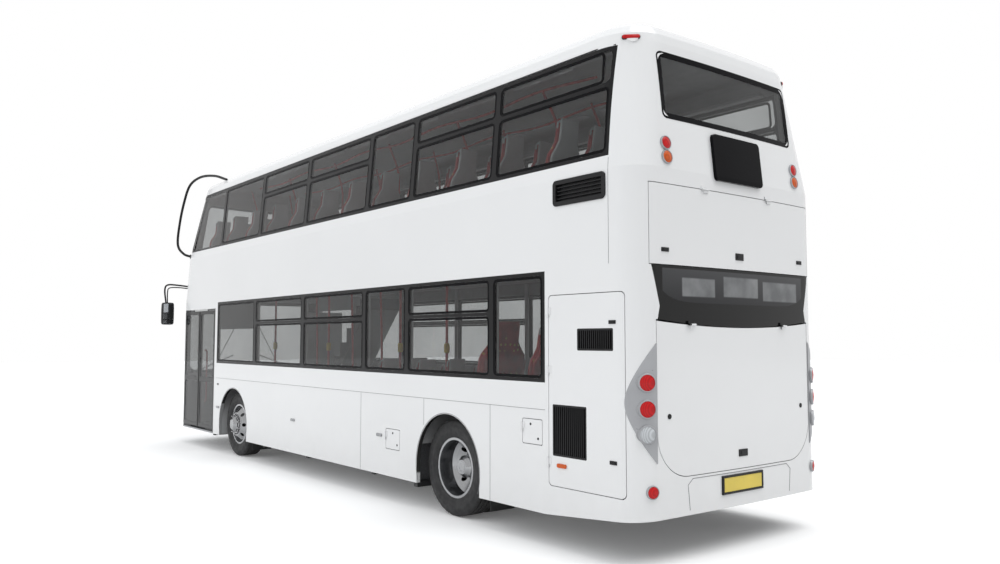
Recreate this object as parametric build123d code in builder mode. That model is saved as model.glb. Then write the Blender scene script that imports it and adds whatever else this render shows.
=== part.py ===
"""Double decker bus: low floor, rear engine, one kerb side entrance, offside stairs.

X points forward, Y to the kerb side and Z up. The origin is on the ground, in the
middle of the overall length. Stations are measured forward from the rear face.
"""
from build123d import *
import os
from math import cos, radians, sin, sqrt

# Overall sizes, in millimetres; the mirrors and the box on the tail stand past the body
body_length = 10900
body_width = 2550
body_height = 4430
mirror_reach = 200
box_proud = 30
wall = 45
half_width = body_width / 2
origin_from_rear = (body_length + mirror_reach - box_proud) / 2

# Clearances that every piece shares
seat_gap = 0.3
panel_gap = 6
overrun = 80


def at(from_rear):
    """Place along X of a station measured forward from the rear face."""
    return from_rear - origin_from_rear


# Heights above the road
skirt_z = 270
low_floor_z = 300
rear_floor_z = 700
upper_floor_z = 2660
floor_thickness = 30
upper_floor_thickness = 60
landing_z = upper_floor_z - upper_floor_thickness
sill_z = 1392
lower_head_z = 2360
hatch_top_z = 3022
upper_sill_z = 3261
upper_head_z = 4200
front_sill_z = 1180
front_head_z = 2460

# Stations along the body
rear_axle_from_rear = 2590
wheelbase = 5660
rear_axle_x = at(rear_axle_from_rear)
front_axle_x = rear_axle_x + wheelbase
corner_x = at(335)
bay_x = at(1104)
door_rear_x = at(9066)
door_front_x = at(10502)
rise_x = at(3250)
bulkhead_x = at(1100)

# Body plan: bowed ends, rounded corners, tumblehome above the deck band
rear_bow = 40
front_bow = 150
rear_corner_r = 230
front_corner_r = 400
top_corner_r = 420
roof_r = 200
knee_z = 2400
band_z = 3150
band_setback = 140
top_setback = 700
dome_inset = 130
side_top_inset = 110
roof_steps = 4
shoulder_z = body_height - roof_r
# Columns: height, rear inset, front setback, side inset, rear corner, front corner
hull_levels = (
    (skirt_z, 0, 0, 0, rear_corner_r, front_corner_r),
    (knee_z, 0, 0, 0, rear_corner_r, front_corner_r),
    (band_z, 0, band_setback, 0, rear_corner_r, front_corner_r),
    (body_height, dome_inset, top_setback, side_top_inset, top_corner_r, top_corner_r),
)


def hull_rows(inset):
    """Rows like hull_levels up to the shoulder, then round the edge of the roof."""
    below, top = hull_levels[-2:]
    share = (shoulder_z - below[0]) / (top[0] - below[0])
    shoulder = [low + (high - low) * share for low, high in zip(below, top)]
    rows = [*hull_levels[:-1], shoulder]
    for step in range(1, roof_steps + 1):
        angle = radians(90 * step / roof_steps)
        draw_in = (roof_r - inset) * (1 - cos(angle))
        height = shoulder_z + (roof_r - inset) * sin(angle)
        insets = [value + draw_in for value in shoulder[1:4]]
        radii = [value - draw_in for value in shoulder[4:]]
        rows.append((height, *insets, *radii))
    return rows


def hull_section(row, inset, drop=0):
    """Plan of the body at one level: bowed ends and rounded corners."""
    height, rear_inset, setback, side_inset, rear_r, front_r = row
    rear = at(rear_inset + inset)
    front = at(body_length - setback - inset)
    half = half_width - side_inset - inset
    with BuildSketch(Plane.XY.offset(height - drop)) as outline:
        with BuildLine():
            tail = ThreePointArc((rear + rear_bow, -half), (rear, 0), (rear + rear_bow, half))
            kerb = Line(tail @ 1, (front - front_bow, half))
            nose = ThreePointArc(kerb @ 1, (front, 0), (front - front_bow, -half))
            Line(nose @ 1, tail @ 0)
        make_face()
        fillet(outline.vertices().sort_by(Axis.X)[:2], rear_r - inset)
        fillet(outline.vertices().sort_by(Axis.X)[-2:], front_r - inset)
    return outline.sketch


def straight_wall(inset, drop=0, rise=0):
    """Closed solid of the upright part of the body, from the skirt to the knee."""
    with BuildPart() as form:
        add(hull_section(hull_levels[0], inset, drop))
        extrude(amount=knee_z - skirt_z + drop + rise)
    return form.part


def hull(inset, drop=0):
    """Closed solid of the body's outer form, drawn in by an inset all round."""
    with BuildPart() as form:
        add(straight_wall(inset, drop))
        for row in hull_rows(inset)[1:]:
            add(hull_section(row, inset))
        loft(ruled=True)
    return form.part


def layer(outside, inside):
    """Skin of the body between two insets."""
    with BuildPart() as skin:
        add(hull(outside))
        add(hull(inside, overrun), mode=Mode.SUBTRACT)
    return skin.part


def low_layer(outside, inside):
    """Skin of the upright part of the body between two insets."""
    with BuildPart() as skin:
        add(straight_wall(outside))
        add(straight_wall(inside, overrun, overrun), mode=Mode.SUBTRACT)
    return skin.part


def slab(x, y, z):
    """Box between three pairs of limits."""
    with BuildPart() as piece:
        with Locations((sum(x) / 2, sum(y) / 2, sum(z) / 2)):
            Box(x[1] - x[0], y[1] - y[0], z[1] - z[0])
    return piece.part


def side_prism(x, z, corner=0, y=(-half_width - overrun, half_width + overrun)):
    """Block along Y between limits in X and Z, with its corners rounded."""
    with BuildPart() as piece:
        with BuildSketch(Plane.XZ.offset(-y[1])):
            with Locations((sum(x) / 2, sum(z) / 2)):
                face = Rectangle(x[1] - x[0], z[1] - z[0])
            if corner:
                fillet(face.vertices(), corner)
        extrude(amount=y[1] - y[0])
    return piece.part


def side_profile(points, y, corner=0):
    """Block along Y from a closed outline of (x, z) points."""
    with BuildPart() as piece:
        with BuildSketch(Plane.XZ.offset(-y[1])) as outline:
            with BuildLine():
                Polyline(*points, close=True)
            make_face()
            if corner:
                fillet(outline.vertices(), corner)
        extrude(amount=y[1] - y[0])
    return piece.part


def end_prism(y, z, x, corner=0):
    """Block along X between limits in Y and Z, with its corners rounded."""
    with BuildPart() as piece:
        with BuildSketch(Plane.YZ.offset(x[0])):
            with Locations((sum(y) / 2, sum(z) / 2)):
                face = Rectangle(y[1] - y[0], z[1] - z[0])
            if corner:
                fillet(face.vertices(), corner)
        extrude(amount=x[1] - x[0])
    return piece.part


def clip(base, keep, cuts=()):
    """The stretch of a skin inside a region, less the cutters."""
    with BuildPart() as piece:
        add(base)
        add(keep, mode=Mode.INTERSECT)
        for cutter in cuts:
            add(cutter, mode=Mode.SUBTRACT)
    return piece.part


def gather(*pieces):
    """One part of several pieces that don't overlap."""
    with BuildPart() as group:
        add(pieces)
    return group.part


def shrink(pair, amount):
    """Limits drawn in by an amount at both ends."""
    return (pair[0] + amount, pair[1] - amount)


def save(piece, label):
    """Name a finished piece and write it."""
    piece.label = label
    export_step(piece, f"parts/{label}.step")


os.makedirs("parts", exist_ok=True)
sides = (("left", 1), ("right", -1))
ways = (1, -1)
kerb_side = (0, half_width + overrun)
road_side = (-half_width - overrun, 0)
whole_width = (-half_width, half_width)
tail_end = (at(-overrun), at(rear_corner_r + overrun))
nose_x = at(body_length + overrun)

# Skins: the panels, the panes inside their frames, and what stands on the panels
glass_inset = 5
glass_thickness = 6
trim_proud = 12
upper_block = slab((tail_end[0], nose_x), (road_side[0], kerb_side[1]), (knee_z, shoulder_z))
panels = layer(0, wall)
low_panels = low_layer(0, wall)
high_panels = clip(panels, upper_block)
low_panes = low_layer(glass_inset, glass_inset + glass_thickness)
high_panes = clip(layer(glass_inset, glass_inset + glass_thickness), upper_block)
trims = layer(-trim_proud, -seat_gap)
low_trims = low_layer(-trim_proud, -seat_gap)

# Wheel arches
tyre_r = 478
arch_r = 542
with BuildPart() as arches:
    with BuildSketch(Plane.XZ.offset(-half_width - overrun)):
        for axle_x in (rear_axle_x, front_axle_x):
            with Locations((axle_x, tyre_r)):
                Circle(arch_r)
            with Locations((axle_x, (skirt_z - overrun + tyre_r) / 2)):
                Rectangle(2 * arch_r, tyre_r - skirt_z + overrun)
    extrude(amount=body_width + 2 * overrun)

# Service flaps in the kerb side skirt. Columns: name, rear edge, front edge, bottom, top
flap_corner = 15
flaps = (
    ("rear", at(1142), at(1413), 845, 1070),
    ("front", at(3465), at(3758), 563, 788),
)

# Side windows
band_corner = 40
pane_corner = 55
frit = 32
bar = 34
lower_band = (at(1108), at(8972))
lower_transom_z = 2005
upper_transom_z = 3870
# Columns: rear post, front post, whether a hopper opens above a bar
lower_bays = (
    (lower_band[0], at(1866), False),
    (at(1866), at(3349), True),
    (at(3349), at(4268), False),
    (at(4268), at(5893), True),
    (at(5893), at(7470), True),
    (at(7470), lower_band[1], False),
)
upper_bays = (
    (corner_x, at(1850), True),
    (at(1850), at(3292), True),
    (at(3292), at(4258), False),
    (at(4258), at(5891), True),
    (at(5891), at(7388), True),
    (at(7388), at(8915), False),
)
slant_foot_x = at(10370)
slant_head_x = at(10040)

# Doors
door_top_z = 2266
emergency_x = (at(1160), at(1830))
emergency_z = (720, 2310)
cab_window_x = (at(9150), at(10400))
cab_window_z = (1330, 2300)
engine_door_x = (at(175), at(1063))
engine_door_z = (519, 2148)
engine_door_corner = 40


def bay_panes(bays, z, transom_z):
    """Limits in X and Z of each clear pane in a band."""
    found = []
    for rear, front, hopper in bays:
        x = shrink((rear, front), frit)
        if hopper:
            found.append((x, (z[0] + frit, transom_z - bar / 2)))
            found.append((x, (transom_z + bar / 2, z[1] - frit)))
        else:
            found.append((x, shrink(z, frit)))
    return found


def pane_blocks(limits, y, gap=0):
    """Rounded blocks at the panes, drawn in by a gap."""
    return [side_prism(shrink(x, gap), shrink(z, gap), pane_corner - gap, y) for x, z in limits]


def slant_x(z, setback=0):
    """Where the raked front edge of the upper band stands at a height."""
    share = (z - upper_sill_z) / (upper_head_z - upper_sill_z)
    return slant_foot_x + (slant_head_x - slant_foot_x) * share - setback


def front_bay(y, draw_in, corner):
    """The upper band's raked front bay, drawn in on every edge."""
    rear = upper_bays[-1][1] + draw_in
    low = upper_sill_z + draw_in
    high = upper_head_z - draw_in
    points = ((rear, low), (slant_x(low, draw_in), low), (slant_x(high, draw_in), high), (rear, high))
    return side_profile(points, y, corner)


# Skirts with their arches and flaps, up to the heads of the lower windows
kerb_flaps = [
    side_prism((rear, front), (low, high), flap_corner, kerb_side) for _, rear, front, low, high in flaps
]
skirt_left = clip(
    low_panels,
    slab((bay_x, door_rear_x), kerb_side, (skirt_z - overrun, lower_head_z)),
    [arches.part, side_prism(lower_band, (sill_z, lower_head_z + overrun), 0, kerb_side)] + kerb_flaps,
)
offside_band = (lower_bays[1][0], lower_band[1])
emergency_hole = side_prism(emergency_x, emergency_z, band_corner, road_side)
cab_hole = side_prism(cab_window_x, cab_window_z, pane_corner, road_side)
skirt_right = clip(
    low_panels,
    slab((bay_x, door_front_x), road_side, (skirt_z - overrun, lower_head_z)),
    [
        arches.part,
        side_prism(offside_band, (sill_z, lower_head_z + overrun), 0, road_side),
        emergency_hole,
        cab_hole,
    ],
)

# Panels between the decks; the kerb side one reaches down to the entrance
intake_x = (at(362), at(988))
intake_z = (2911, 3135)
intake_rim = 30
intake_corner = 40
header_points = (
    (corner_x, lower_head_z),
    (door_rear_x, lower_head_z),
    (door_rear_x, door_top_z),
    (door_front_x, door_top_z),
    (door_front_x, upper_sill_z),
    (corner_x, upper_sill_z),
)
intake_hole = side_prism(
    shrink(intake_x, intake_rim), shrink(intake_z, intake_rim), intake_corner - intake_rim, kerb_side
)
deck_panel_right = clip(panels, slab((corner_x, door_front_x), road_side, (lower_head_z, upper_sill_z)))

# Black window bands and their panes
kerb_lower = bay_panes(lower_bays, (sill_z, lower_head_z), lower_transom_z)
road_lower = bay_panes(lower_bays[1:], (sill_z, lower_head_z), lower_transom_z)
upper = bay_panes(upper_bays, (upper_sill_z, upper_head_z), upper_transom_z)
lower_frames = gather(
    clip(
        low_panels,
        slab(lower_band, kerb_side, (sill_z, lower_head_z)),
        pane_blocks(kerb_lower, kerb_side),
    ),
    clip(
        low_panels,
        slab(offside_band, road_side, (sill_z, lower_head_z)),
        pane_blocks(road_lower, road_side),
    ),
)
upper_region = (
    (corner_x, upper_sill_z),
    (slant_foot_x, upper_sill_z),
    (slant_head_x, upper_head_z),
    (corner_x, upper_head_z),
)
upper_frames = []
lower_glass = []
upper_glass = []
for y, lower_limits in ((kerb_side, kerb_lower), (road_side, road_lower)):
    holes = pane_blocks(upper, y) + [front_bay(y, frit, pane_corner)]
    upper_frames.append(clip(high_panels, side_profile(upper_region, y), holes))
    for block in pane_blocks(lower_limits, y, seat_gap):
        lower_glass.append(clip(low_panes, block))
    for block in pane_blocks(upper, y, seat_gap):
        upper_glass.append(clip(high_panes, block))
    upper_glass.append(clip(high_panes, front_bay(y, frit + seat_gap, pane_corner - seat_gap)))
cab_pane = side_prism(
    shrink(cab_window_x, seat_gap), shrink(cab_window_z, seat_gap), pane_corner - seat_gap, road_side
)
lower_glass.append(clip(low_panes, cab_pane))
save(gather(lower_frames, *upper_frames), "window_frames")
save(gather(*lower_glass, *upper_glass), "window_glass")

# Rear: half outlines in (y, z) are mirrored about the middle
surround_foot_z = 1926
surround_half = ((1107, lower_head_z), (1022, 2032), (1047, surround_foot_z))
surround_bow = 57
hatch_half = 1060
hatch_foot_z = 674
hatch_foot_r = 350
bumper_foot_z = 370
bumper_top_z = hatch_foot_z - panel_gap
bumper_wrap_x = at(150)
mid_hatch_half = 1120


def rear_block(points, middle=None, x=tail_end):
    """Block along X from the left half of an outline, its foot bowed down to the middle."""
    with BuildPart() as piece:
        with BuildSketch(Plane.YZ.offset(x[0])):
            with BuildLine():
                right = [(-y, z) for y, z in points]
                Polyline(*points)
                Polyline(*right)
                Line(points[0], right[0])
                if middle:
                    ThreePointArc(points[-1], (0, middle), right[-1])
                else:
                    Line(points[-1], right[-1])
            make_face()
        extrude(amount=x[1] - x[0])
    return piece.part


def hatch_block(grow):
    """Outline of the engine hatch, grown by a gap on its sides and foot."""
    half = hatch_half + grow
    foot = hatch_foot_z - grow
    head = surround_foot_z
    with BuildPart() as piece:
        with BuildSketch(Plane.YZ.offset(tail_end[0])) as outline:
            with BuildLine():
                Polyline((-half, head), (-half, foot), (half, foot), (half, head), close=True)
            make_face()
            fillet(outline.vertices().group_by(Axis.Y)[0], hatch_foot_r + grow)
        extrude(amount=tail_end[1] - tail_end[0])
    return piece.part


surround = rear_block(surround_half, surround_foot_z - surround_bow)
under_surround = rear_block(
    ((hatch_half + overrun, lower_head_z), (hatch_half + overrun, surround_foot_z - panel_gap)),
    surround_foot_z - surround_bow - panel_gap,
)
engine_hatch_skin = clip(low_panels, hatch_block(0), [surround, under_surround])
tail_slope = side_profile(
    (
        (tail_end[0], skirt_z - 2 * overrun),
        (tail_end[0], bumper_foot_z),
        (bay_x, skirt_z),
        (bay_x, skirt_z - 2 * overrun),
    ),
    (road_side[0], kerb_side[1]),
)
engine_door_hole = side_prism(engine_door_x, engine_door_z, engine_door_corner, kerb_side)
bumper_block = slab((tail_end[0], bumper_wrap_x), whole_width, (0, bumper_top_z))
slot_half = mid_hatch_half + panel_gap
hatch_slot = slab(tail_end, (-slot_half, slot_half), (lower_head_z, hatch_top_z))
bay_flanks = slab((at(0), bay_x), whole_width, (skirt_z - overrun, lower_head_z))
quarter_region = gather(bay_flanks, slab((at(0), corner_x), whole_width, (lower_head_z, hatch_top_z)))
quarters = clip(
    panels,
    quarter_region,
    [surround, hatch_block(panel_gap), tail_slope, engine_door_hole, bumper_block, hatch_slot],
)
save(
    clip(low_panels, slab((at(0), bumper_wrap_x), whole_width, (0, bumper_top_z)), [tail_slope]),
    "rear_bumper",
)
hatch_head = slab(
    tail_end, (-mid_hatch_half, mid_hatch_half), shrink((lower_head_z, hatch_top_z), panel_gap)
)
mid_hatch_skin = clip(panels, hatch_head)

# Upper rear moulding with its window
dome_seam_x = at(151)
rear_window_half = 900
rear_window_z = (3590, 4140)
rear_window_corner = 90
rear_window = end_prism((-rear_window_half, rear_window_half), rear_window_z, tail_end, rear_window_corner)
dome_region = gather(
    slab((at(0), corner_x), whole_width, (hatch_top_z, upper_head_z)),
    slab((at(0), dome_seam_x), whole_width, (upper_head_z, body_height + overrun)),
)
rear_dome = clip(panels, dome_region, [rear_window])

# Front: corner posts, panels and screens
screen_half = 1120
screen_z = (1230, 2400)
screen_corner = 120
front_end = (at(10200), nose_x)
lower_screen = end_prism((-screen_half, screen_half), screen_z, front_end, screen_corner)
upper_screen_half = 1030
upper_screen_z = (3290, 4110)
upper_end = (at(9700), nose_x)
upper_screen = end_prism((-upper_screen_half, upper_screen_half), upper_screen_z, upper_end, screen_corner)
front_block = (door_front_x, nose_x)
front_lower = clip(low_panels, slab(front_block, whole_width, (0, front_sill_z)))
surround_block = slab(front_block, whole_width, (front_sill_z, front_head_z))
windscreen_surround = clip(panels, surround_block, [lower_screen])
front_deck = clip(high_panels, slab(front_block, whole_width, (front_head_z, upper_sill_z)))
save(gather(front_lower, front_deck), "front_panels")
upper_front_region = side_profile(
    (
        (slant_foot_x, upper_sill_z),
        (slant_head_x, upper_head_z),
        (nose_x, upper_head_z),
        (nose_x, upper_sill_z),
    ),
    whole_width,
)
save(clip(high_panels, upper_front_region, [upper_screen]), "front_upper_panel")

# Roof: a rear and a front dome butt against the long middle moulding
roof_joints_x = (at(415), at(9955))
roof_stretches = (
    (dome_seam_x, roof_joints_x[0] - seat_gap),
    roof_joints_x,
    (roof_joints_x[1] + seat_gap, nose_x),
)
roof_regions = [slab(x, whole_width, (upper_head_z, body_height + overrun)) for x in roof_stretches]
save(gather(*[clip(panels, region) for region in roof_regions]), "roof")

# Lift-off hinges outside the skin: a lug with a pin on the fixed panel, an eye on the door
hinge_r = 8
hinge_pin_r = 4
hinge_bore_r = hinge_pin_r + seat_gap
hinge_standoff = 10
hinge_leaf = 30
hinge_plate = 4
hinge_eye_h = 60
hinge_lug_h = 26
hinge_root = 18


def hinge_lug(plane):
    """Fixed half: plate, knuckle and the pin that goes down through the eye."""
    with BuildPart(plane) as lug:
        with Locations((-hinge_leaf / 2, (hinge_plate - hinge_root) / 2 - hinge_standoff, hinge_lug_h / 2)):
            Box(hinge_leaf, hinge_plate + hinge_root, hinge_lug_h)
        with Locations((0, 0, hinge_lug_h / 2)):
            Cylinder(hinge_r, hinge_lug_h)
        with Locations((-hinge_r / 2, -hinge_standoff / 2, hinge_lug_h / 2)):
            Box(hinge_r, hinge_standoff, hinge_lug_h)
        with Locations((0, 0, -hinge_eye_h / 2)):
            Cylinder(hinge_pin_r, hinge_eye_h)
    return lug.part


def hinge_eye(plane):
    """Moving half: plate and eye, just under the lug."""
    top = -seat_gap
    middle = top - hinge_eye_h / 2
    with BuildPart(plane) as eye:
        with Locations((hinge_leaf / 2, (hinge_plate - hinge_root) / 2 - hinge_standoff, middle)):
            Box(hinge_leaf, hinge_plate + hinge_root, hinge_eye_h)
        with Locations((0, 0, middle)):
            Cylinder(hinge_r, hinge_eye_h)
        with Locations((hinge_r / 2, -hinge_standoff / 2, middle)):
            Box(hinge_r, hinge_standoff, hinge_eye_h)
        with Locations((0, 0, middle)):
            Cylinder(hinge_bore_r, hinge_eye_h + overrun, mode=Mode.SUBTRACT)
    return eye.part


def upright_hinges(edge_x, side, heights):
    """Hinge planes up a door's front edge on one side of the body."""
    x = edge_x + panel_gap / 2
    y = side * (half_width + hinge_standoff)
    return [Plane((x, y, z), x_dir=(-1, 0, 0), z_dir=(0, 0, -side)) for z in heights]


def level_hinges(x, z, places):
    """Hinge planes along a hatch's top edge across the tail."""
    return [Plane((x, y, z), x_dir=(0, 0, -1), z_dir=(0, 1, 0)) for y in places]


# Engine bay door on the kerb side, with two slatted grilles
engine_door_hinge_z = (700, 1480, 1980)
grille_corner = 12
# Columns: rear edge, front edge, bottom, top
grilles = (
    (at(293), at(705), 1673, 1856),
    (at(600), at(1010), 777, 1212),
)
grille_frame = 16
slat_width = 9
slat_pitch = 24
slat_depth = 22
engine_door = clip(
    low_panels,
    side_prism(
        shrink(engine_door_x, panel_gap), shrink(engine_door_z, panel_gap), engine_door_corner, kerb_side
    ),
    [side_prism((rear, front), (low, high), grille_corner, kerb_side) for rear, front, low, high in grilles],
)
engine_edge = engine_door_x[1] - panel_gap
engine_door_eyes = [hinge_eye(plane) for plane in upright_hinges(engine_edge, 1, engine_door_hinge_z)]


def upright_slats(limits, y):
    """Frame with upright slats that fills an opening."""
    rear, front, low, high = limits
    x = shrink((rear, front), seat_gap)
    z = shrink((low, high), seat_gap)
    clear_x = shrink(x, grille_frame)
    clear_z = shrink(z, grille_frame)
    count = int((clear_x[1] - clear_x[0]) / slat_pitch)
    spacing = (clear_x[1] - clear_x[0]) / (count + 1)
    with BuildPart() as grille:
        with BuildSketch(Plane.XZ.offset(-y[1])):
            with Locations((sum(x) / 2, sum(z) / 2)):
                edge = Rectangle(x[1] - x[0], z[1] - z[0])
                fillet(edge.vertices(), grille_corner - seat_gap)
                Rectangle(clear_x[1] - clear_x[0], clear_z[1] - clear_z[0], mode=Mode.SUBTRACT)
                with GridLocations(spacing, 0, count, 1):
                    Rectangle(slat_width, clear_z[1] - clear_z[0] + grille_frame)
        extrude(amount=y[1] - y[0])
    return grille.part


slat_y = (half_width - slat_depth, half_width)
save(gather(*[upright_slats(limits, slat_y) for limits in grilles]), "engine_door_grilles")
save(gather(engine_door, *engine_door_eyes), "engine_door")

# Emergency door on the offside and the two service flaps
emergency_hinge_z = (900, 1500, 2100)
emergency_rail = 85
emergency_pane_z = (1450, emergency_z[1] - emergency_rail)
emergency_pane_x = shrink(emergency_x, emergency_rail)
emergency_pane = side_prism(emergency_pane_x, emergency_pane_z, pane_corner, road_side)
emergency_door = clip(
    low_panels,
    side_prism(shrink(emergency_x, panel_gap), shrink(emergency_z, panel_gap), band_corner, road_side),
    [emergency_pane],
)
emergency_edge = emergency_x[1] - panel_gap
emergency_eyes = [hinge_eye(plane) for plane in upright_hinges(emergency_edge, -1, emergency_hinge_z)]
save(gather(emergency_door, *emergency_eyes), "emergency_door")
emergency_block = pane_blocks([(emergency_pane_x, emergency_pane_z)], road_side, seat_gap)[0]
save(clip(low_panes, emergency_block), "emergency_door_glass")

flap_lugs = []
for name, rear, front, low, high in flaps:
    heights = ((low + high) / 2 + (hinge_eye_h - hinge_lug_h) / 2,)
    skin = clip(
        low_panels,
        side_prism(shrink((rear, front), panel_gap), shrink((low, high), panel_gap), flap_corner, kerb_side),
    )
    edge = front - panel_gap
    eyes = [hinge_eye(plane) for plane in upright_hinges(edge, 1, heights)]
    flap_lugs += [hinge_lug(plane) for plane in upright_hinges(edge, 1, heights)]
    save(gather(skin, *eyes), f"service_flap_{name}")
emergency_lugs = [hinge_lug(plane) for plane in upright_hinges(emergency_edge, -1, emergency_hinge_z)]
save(gather(skirt_left, *flap_lugs), "skirt_left")
save(gather(skirt_right, *emergency_lugs), "skirt_right")
engine_lugs = [hinge_lug(plane) for plane in upright_hinges(engine_edge, 1, engine_door_hinge_z)]
save(gather(quarters, *engine_lugs), "rear_quarters")

# Tail hatches, hinged at their heads outside the skin
mid_hinge_z = hatch_top_z - panel_gap / 2
mid_hinge_y = (-420, 480)
engine_hinge_z = 1886
engine_hinge_y = (-620, 680)
tail_hinge_x = at(-hinge_standoff)
mid_planes = level_hinges(tail_hinge_x, mid_hinge_z, mid_hinge_y)
engine_planes = level_hinges(tail_hinge_x, engine_hinge_z, engine_hinge_y)
save(gather(mid_hatch_skin, *[hinge_eye(plane) for plane in mid_planes]), "rear_mid_hatch")
save(gather(engine_hatch_skin, *[hinge_eye(plane) for plane in engine_planes]), "engine_hatch")
save(gather(rear_dome, *[hinge_lug(plane) for plane in mid_planes]), "rear_dome")
tail_surround = gather(clip(low_panels, surround), *[hinge_lug(plane) for plane in engine_planes])
save(gather(tail_surround, windscreen_surround), "screen_surrounds")

# Rear, front and cab glass
rear_pane = end_prism(
    (-rear_window_half + seat_gap, rear_window_half - seat_gap),
    shrink(rear_window_z, seat_gap),
    tail_end,
    rear_window_corner - seat_gap,
)
lower_screen_pane = end_prism(
    (-screen_half + seat_gap, screen_half - seat_gap), shrink(screen_z, seat_gap), front_end, screen_corner
)
upper_screen_pane = end_prism(
    (-upper_screen_half + seat_gap, upper_screen_half - seat_gap),
    shrink(upper_screen_z, seat_gap),
    upper_end,
    screen_corner,
)
high_screens = [clip(high_panes, pane) for pane in (rear_pane, upper_screen_pane)]
save(gather(clip(low_panes, lower_screen_pane), *high_screens), "end_screens")

# Intake grille in the panel between the decks
intake_slat_pitch = 34
intake_slat = 8
intake_depth = 30


def intake():
    """Proud rim round a recess with level slats."""
    rim_y = (half_width + seat_gap, half_width + trim_proud)
    back_y = (half_width - wall, half_width - intake_depth)
    clear_x = shrink(intake_x, intake_rim)
    clear_z = shrink(intake_z, intake_rim)
    slats = int((clear_z[1] - clear_z[0]) / intake_slat_pitch)
    spacing = (clear_z[1] - clear_z[0]) / (slats + 1)
    neck_x = shrink(clear_x, seat_gap)
    neck_z = shrink(clear_z, seat_gap)
    with BuildPart() as grille:
        add(side_prism(intake_x, intake_z, intake_corner, rim_y))
        add(side_prism(neck_x, neck_z, intake_corner - intake_rim - seat_gap, (back_y[0], rim_y[1])))
        hollow = side_prism(
            shrink(neck_x, intake_slat), shrink(neck_z, intake_slat), 0, (back_y[1], rim_y[1] + overrun)
        )
        add(hollow, mode=Mode.SUBTRACT)
        with BuildSketch(Plane.XZ.offset(-half_width)):
            with Locations((sum(clear_x) / 2, sum(clear_z) / 2)):
                with GridLocations(0, spacing, 1, slats):
                    Rectangle(clear_x[1] - clear_x[0] - intake_slat, intake_slat)
        extrude(amount=intake_depth)
    return grille.part


save(intake(), "intake_grille")

# Lamps, light clusters and the box under the rear window follow the skin
cluster_head = (1068, 1736)
cluster_foot = (1068, 800)
cluster_side = (1262, 1330)
cluster_gap = 3
cluster_proud = 8
cluster_skin = low_layer(-cluster_proud, -seat_gap)
lamp_proud = 20
lamp_skin = low_layer(-lamp_proud, -cluster_proud - seat_gap)
cluster_blocks = []
for side in ways:
    with BuildPart() as block:
        with BuildSketch(Plane.YZ.offset(tail_end[0])):
            with BuildLine():
                head = (side * (cluster_head[0] + cluster_gap), cluster_head[1])
                foot = (side * (cluster_foot[0] + cluster_gap), cluster_foot[1])
                ThreePointArc(head, (side * cluster_side[0], cluster_side[1]), foot)
                Line(foot, head)
            make_face()
        extrude(amount=tail_end[1] - tail_end[0])
    cluster_blocks.append(block.part)
save(gather(*[clip(cluster_skin, block) for block in cluster_blocks]), "light_clusters")

# Columns: distance from the middle, height, radius, colour, whether it stands on a cluster
tail_lamps = (
    (1159, 1428, 68, "red", True),
    (1159, 1223, 68, "red", True),
    (1159, 1027, 68, "clear", True),
    (1118, 582, 48, "red", False),
    (911, 3358, 52, "red", False),
    (911, 3240, 52, "amber", False),
    (1070, 4250, 32, "red", False),
)
marker_x = (at(895), at(3893), at(6131), at(8868))
marker_size = (110, 34)
marker_z = 701
head_lamp_z = 720
head_lamp_y = (760, 930)
head_lamp_r = 78
lamps = {"red": [], "amber": [], "clear": []}
for offset_y, height, radius, colour, on_cluster in tail_lamps:
    skin = lamp_skin if on_cluster else trims
    for side in ways:
        with BuildPart() as block:
            with BuildSketch(Plane.YZ.offset(tail_end[0])):
                with Locations((side * offset_y, height)):
                    Circle(radius)
            extrude(amount=tail_end[1] - tail_end[0])
        lamps[colour].append(clip(skin, block.part))
for side in ways:
    y = kerb_side if side > 0 else road_side
    for x in marker_x:
        block = side_prism(
            (x - marker_size[0] / 2, x + marker_size[0] / 2),
            (marker_z - marker_size[1] / 2, marker_z + marker_size[1] / 2),
            marker_size[1] / 3,
            y,
        )
        marker = clip(low_trims, block)
        if side > 0 and engine_door_x[0] < x < engine_door_x[1]:
            save(marker, "engine_door_marker")
        else:
            lamps["amber"].append(marker)
    for offset_y in head_lamp_y:
        with BuildPart() as block:
            with BuildSketch(Plane.YZ.offset(front_end[0])):
                with Locations((side * offset_y, head_lamp_z)):
                    Circle(head_lamp_r)
            extrude(amount=front_end[1] - front_end[0])
        lamps["clear"].append(clip(low_trims, block.part))
for colour, lenses in lamps.items():
    save(gather(*lenses), f"lamps_{colour}")
box_half = 334
box_z = (3112, 3519)
box_corner = 40
box_skin = layer(-box_proud, -seat_gap)
rear_box = clip(box_skin, end_prism((-box_half, box_half), box_z, tail_end, box_corner))
sign_half = 900
sign_z = (2600, 2960)
front_box = clip(trims, end_prism((-sign_half, sign_half), sign_z, front_end, box_corner))
save(gather(rear_box, front_box), "display_boxes")

# Entrance: two leaves that glide inward, each on a pair of arms at its foot and head
door_split_x = (door_rear_x + door_front_x) / 2
leaf_t = 40
leaf_meeting_gap = 4
leaf_jamb_gap = 12
arm_t = 18
arm_w = 26
arm_pin_r = 10
leaf_pin_r = 8
leaf_y = half_width - leaf_t / 2
leaf_z = (low_floor_z + 2 * panel_gap + arm_t, door_top_z - 2 * panel_gap - arm_t)
arm_z = (low_floor_z + panel_gap, door_top_z - panel_gap - arm_t)
arm_pivot = leaf_t / 2 + leaf_jamb_gap
leaf_rail = 55
leaf_pane_split = (1080, 1150)
leaf_corner = 45
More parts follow.
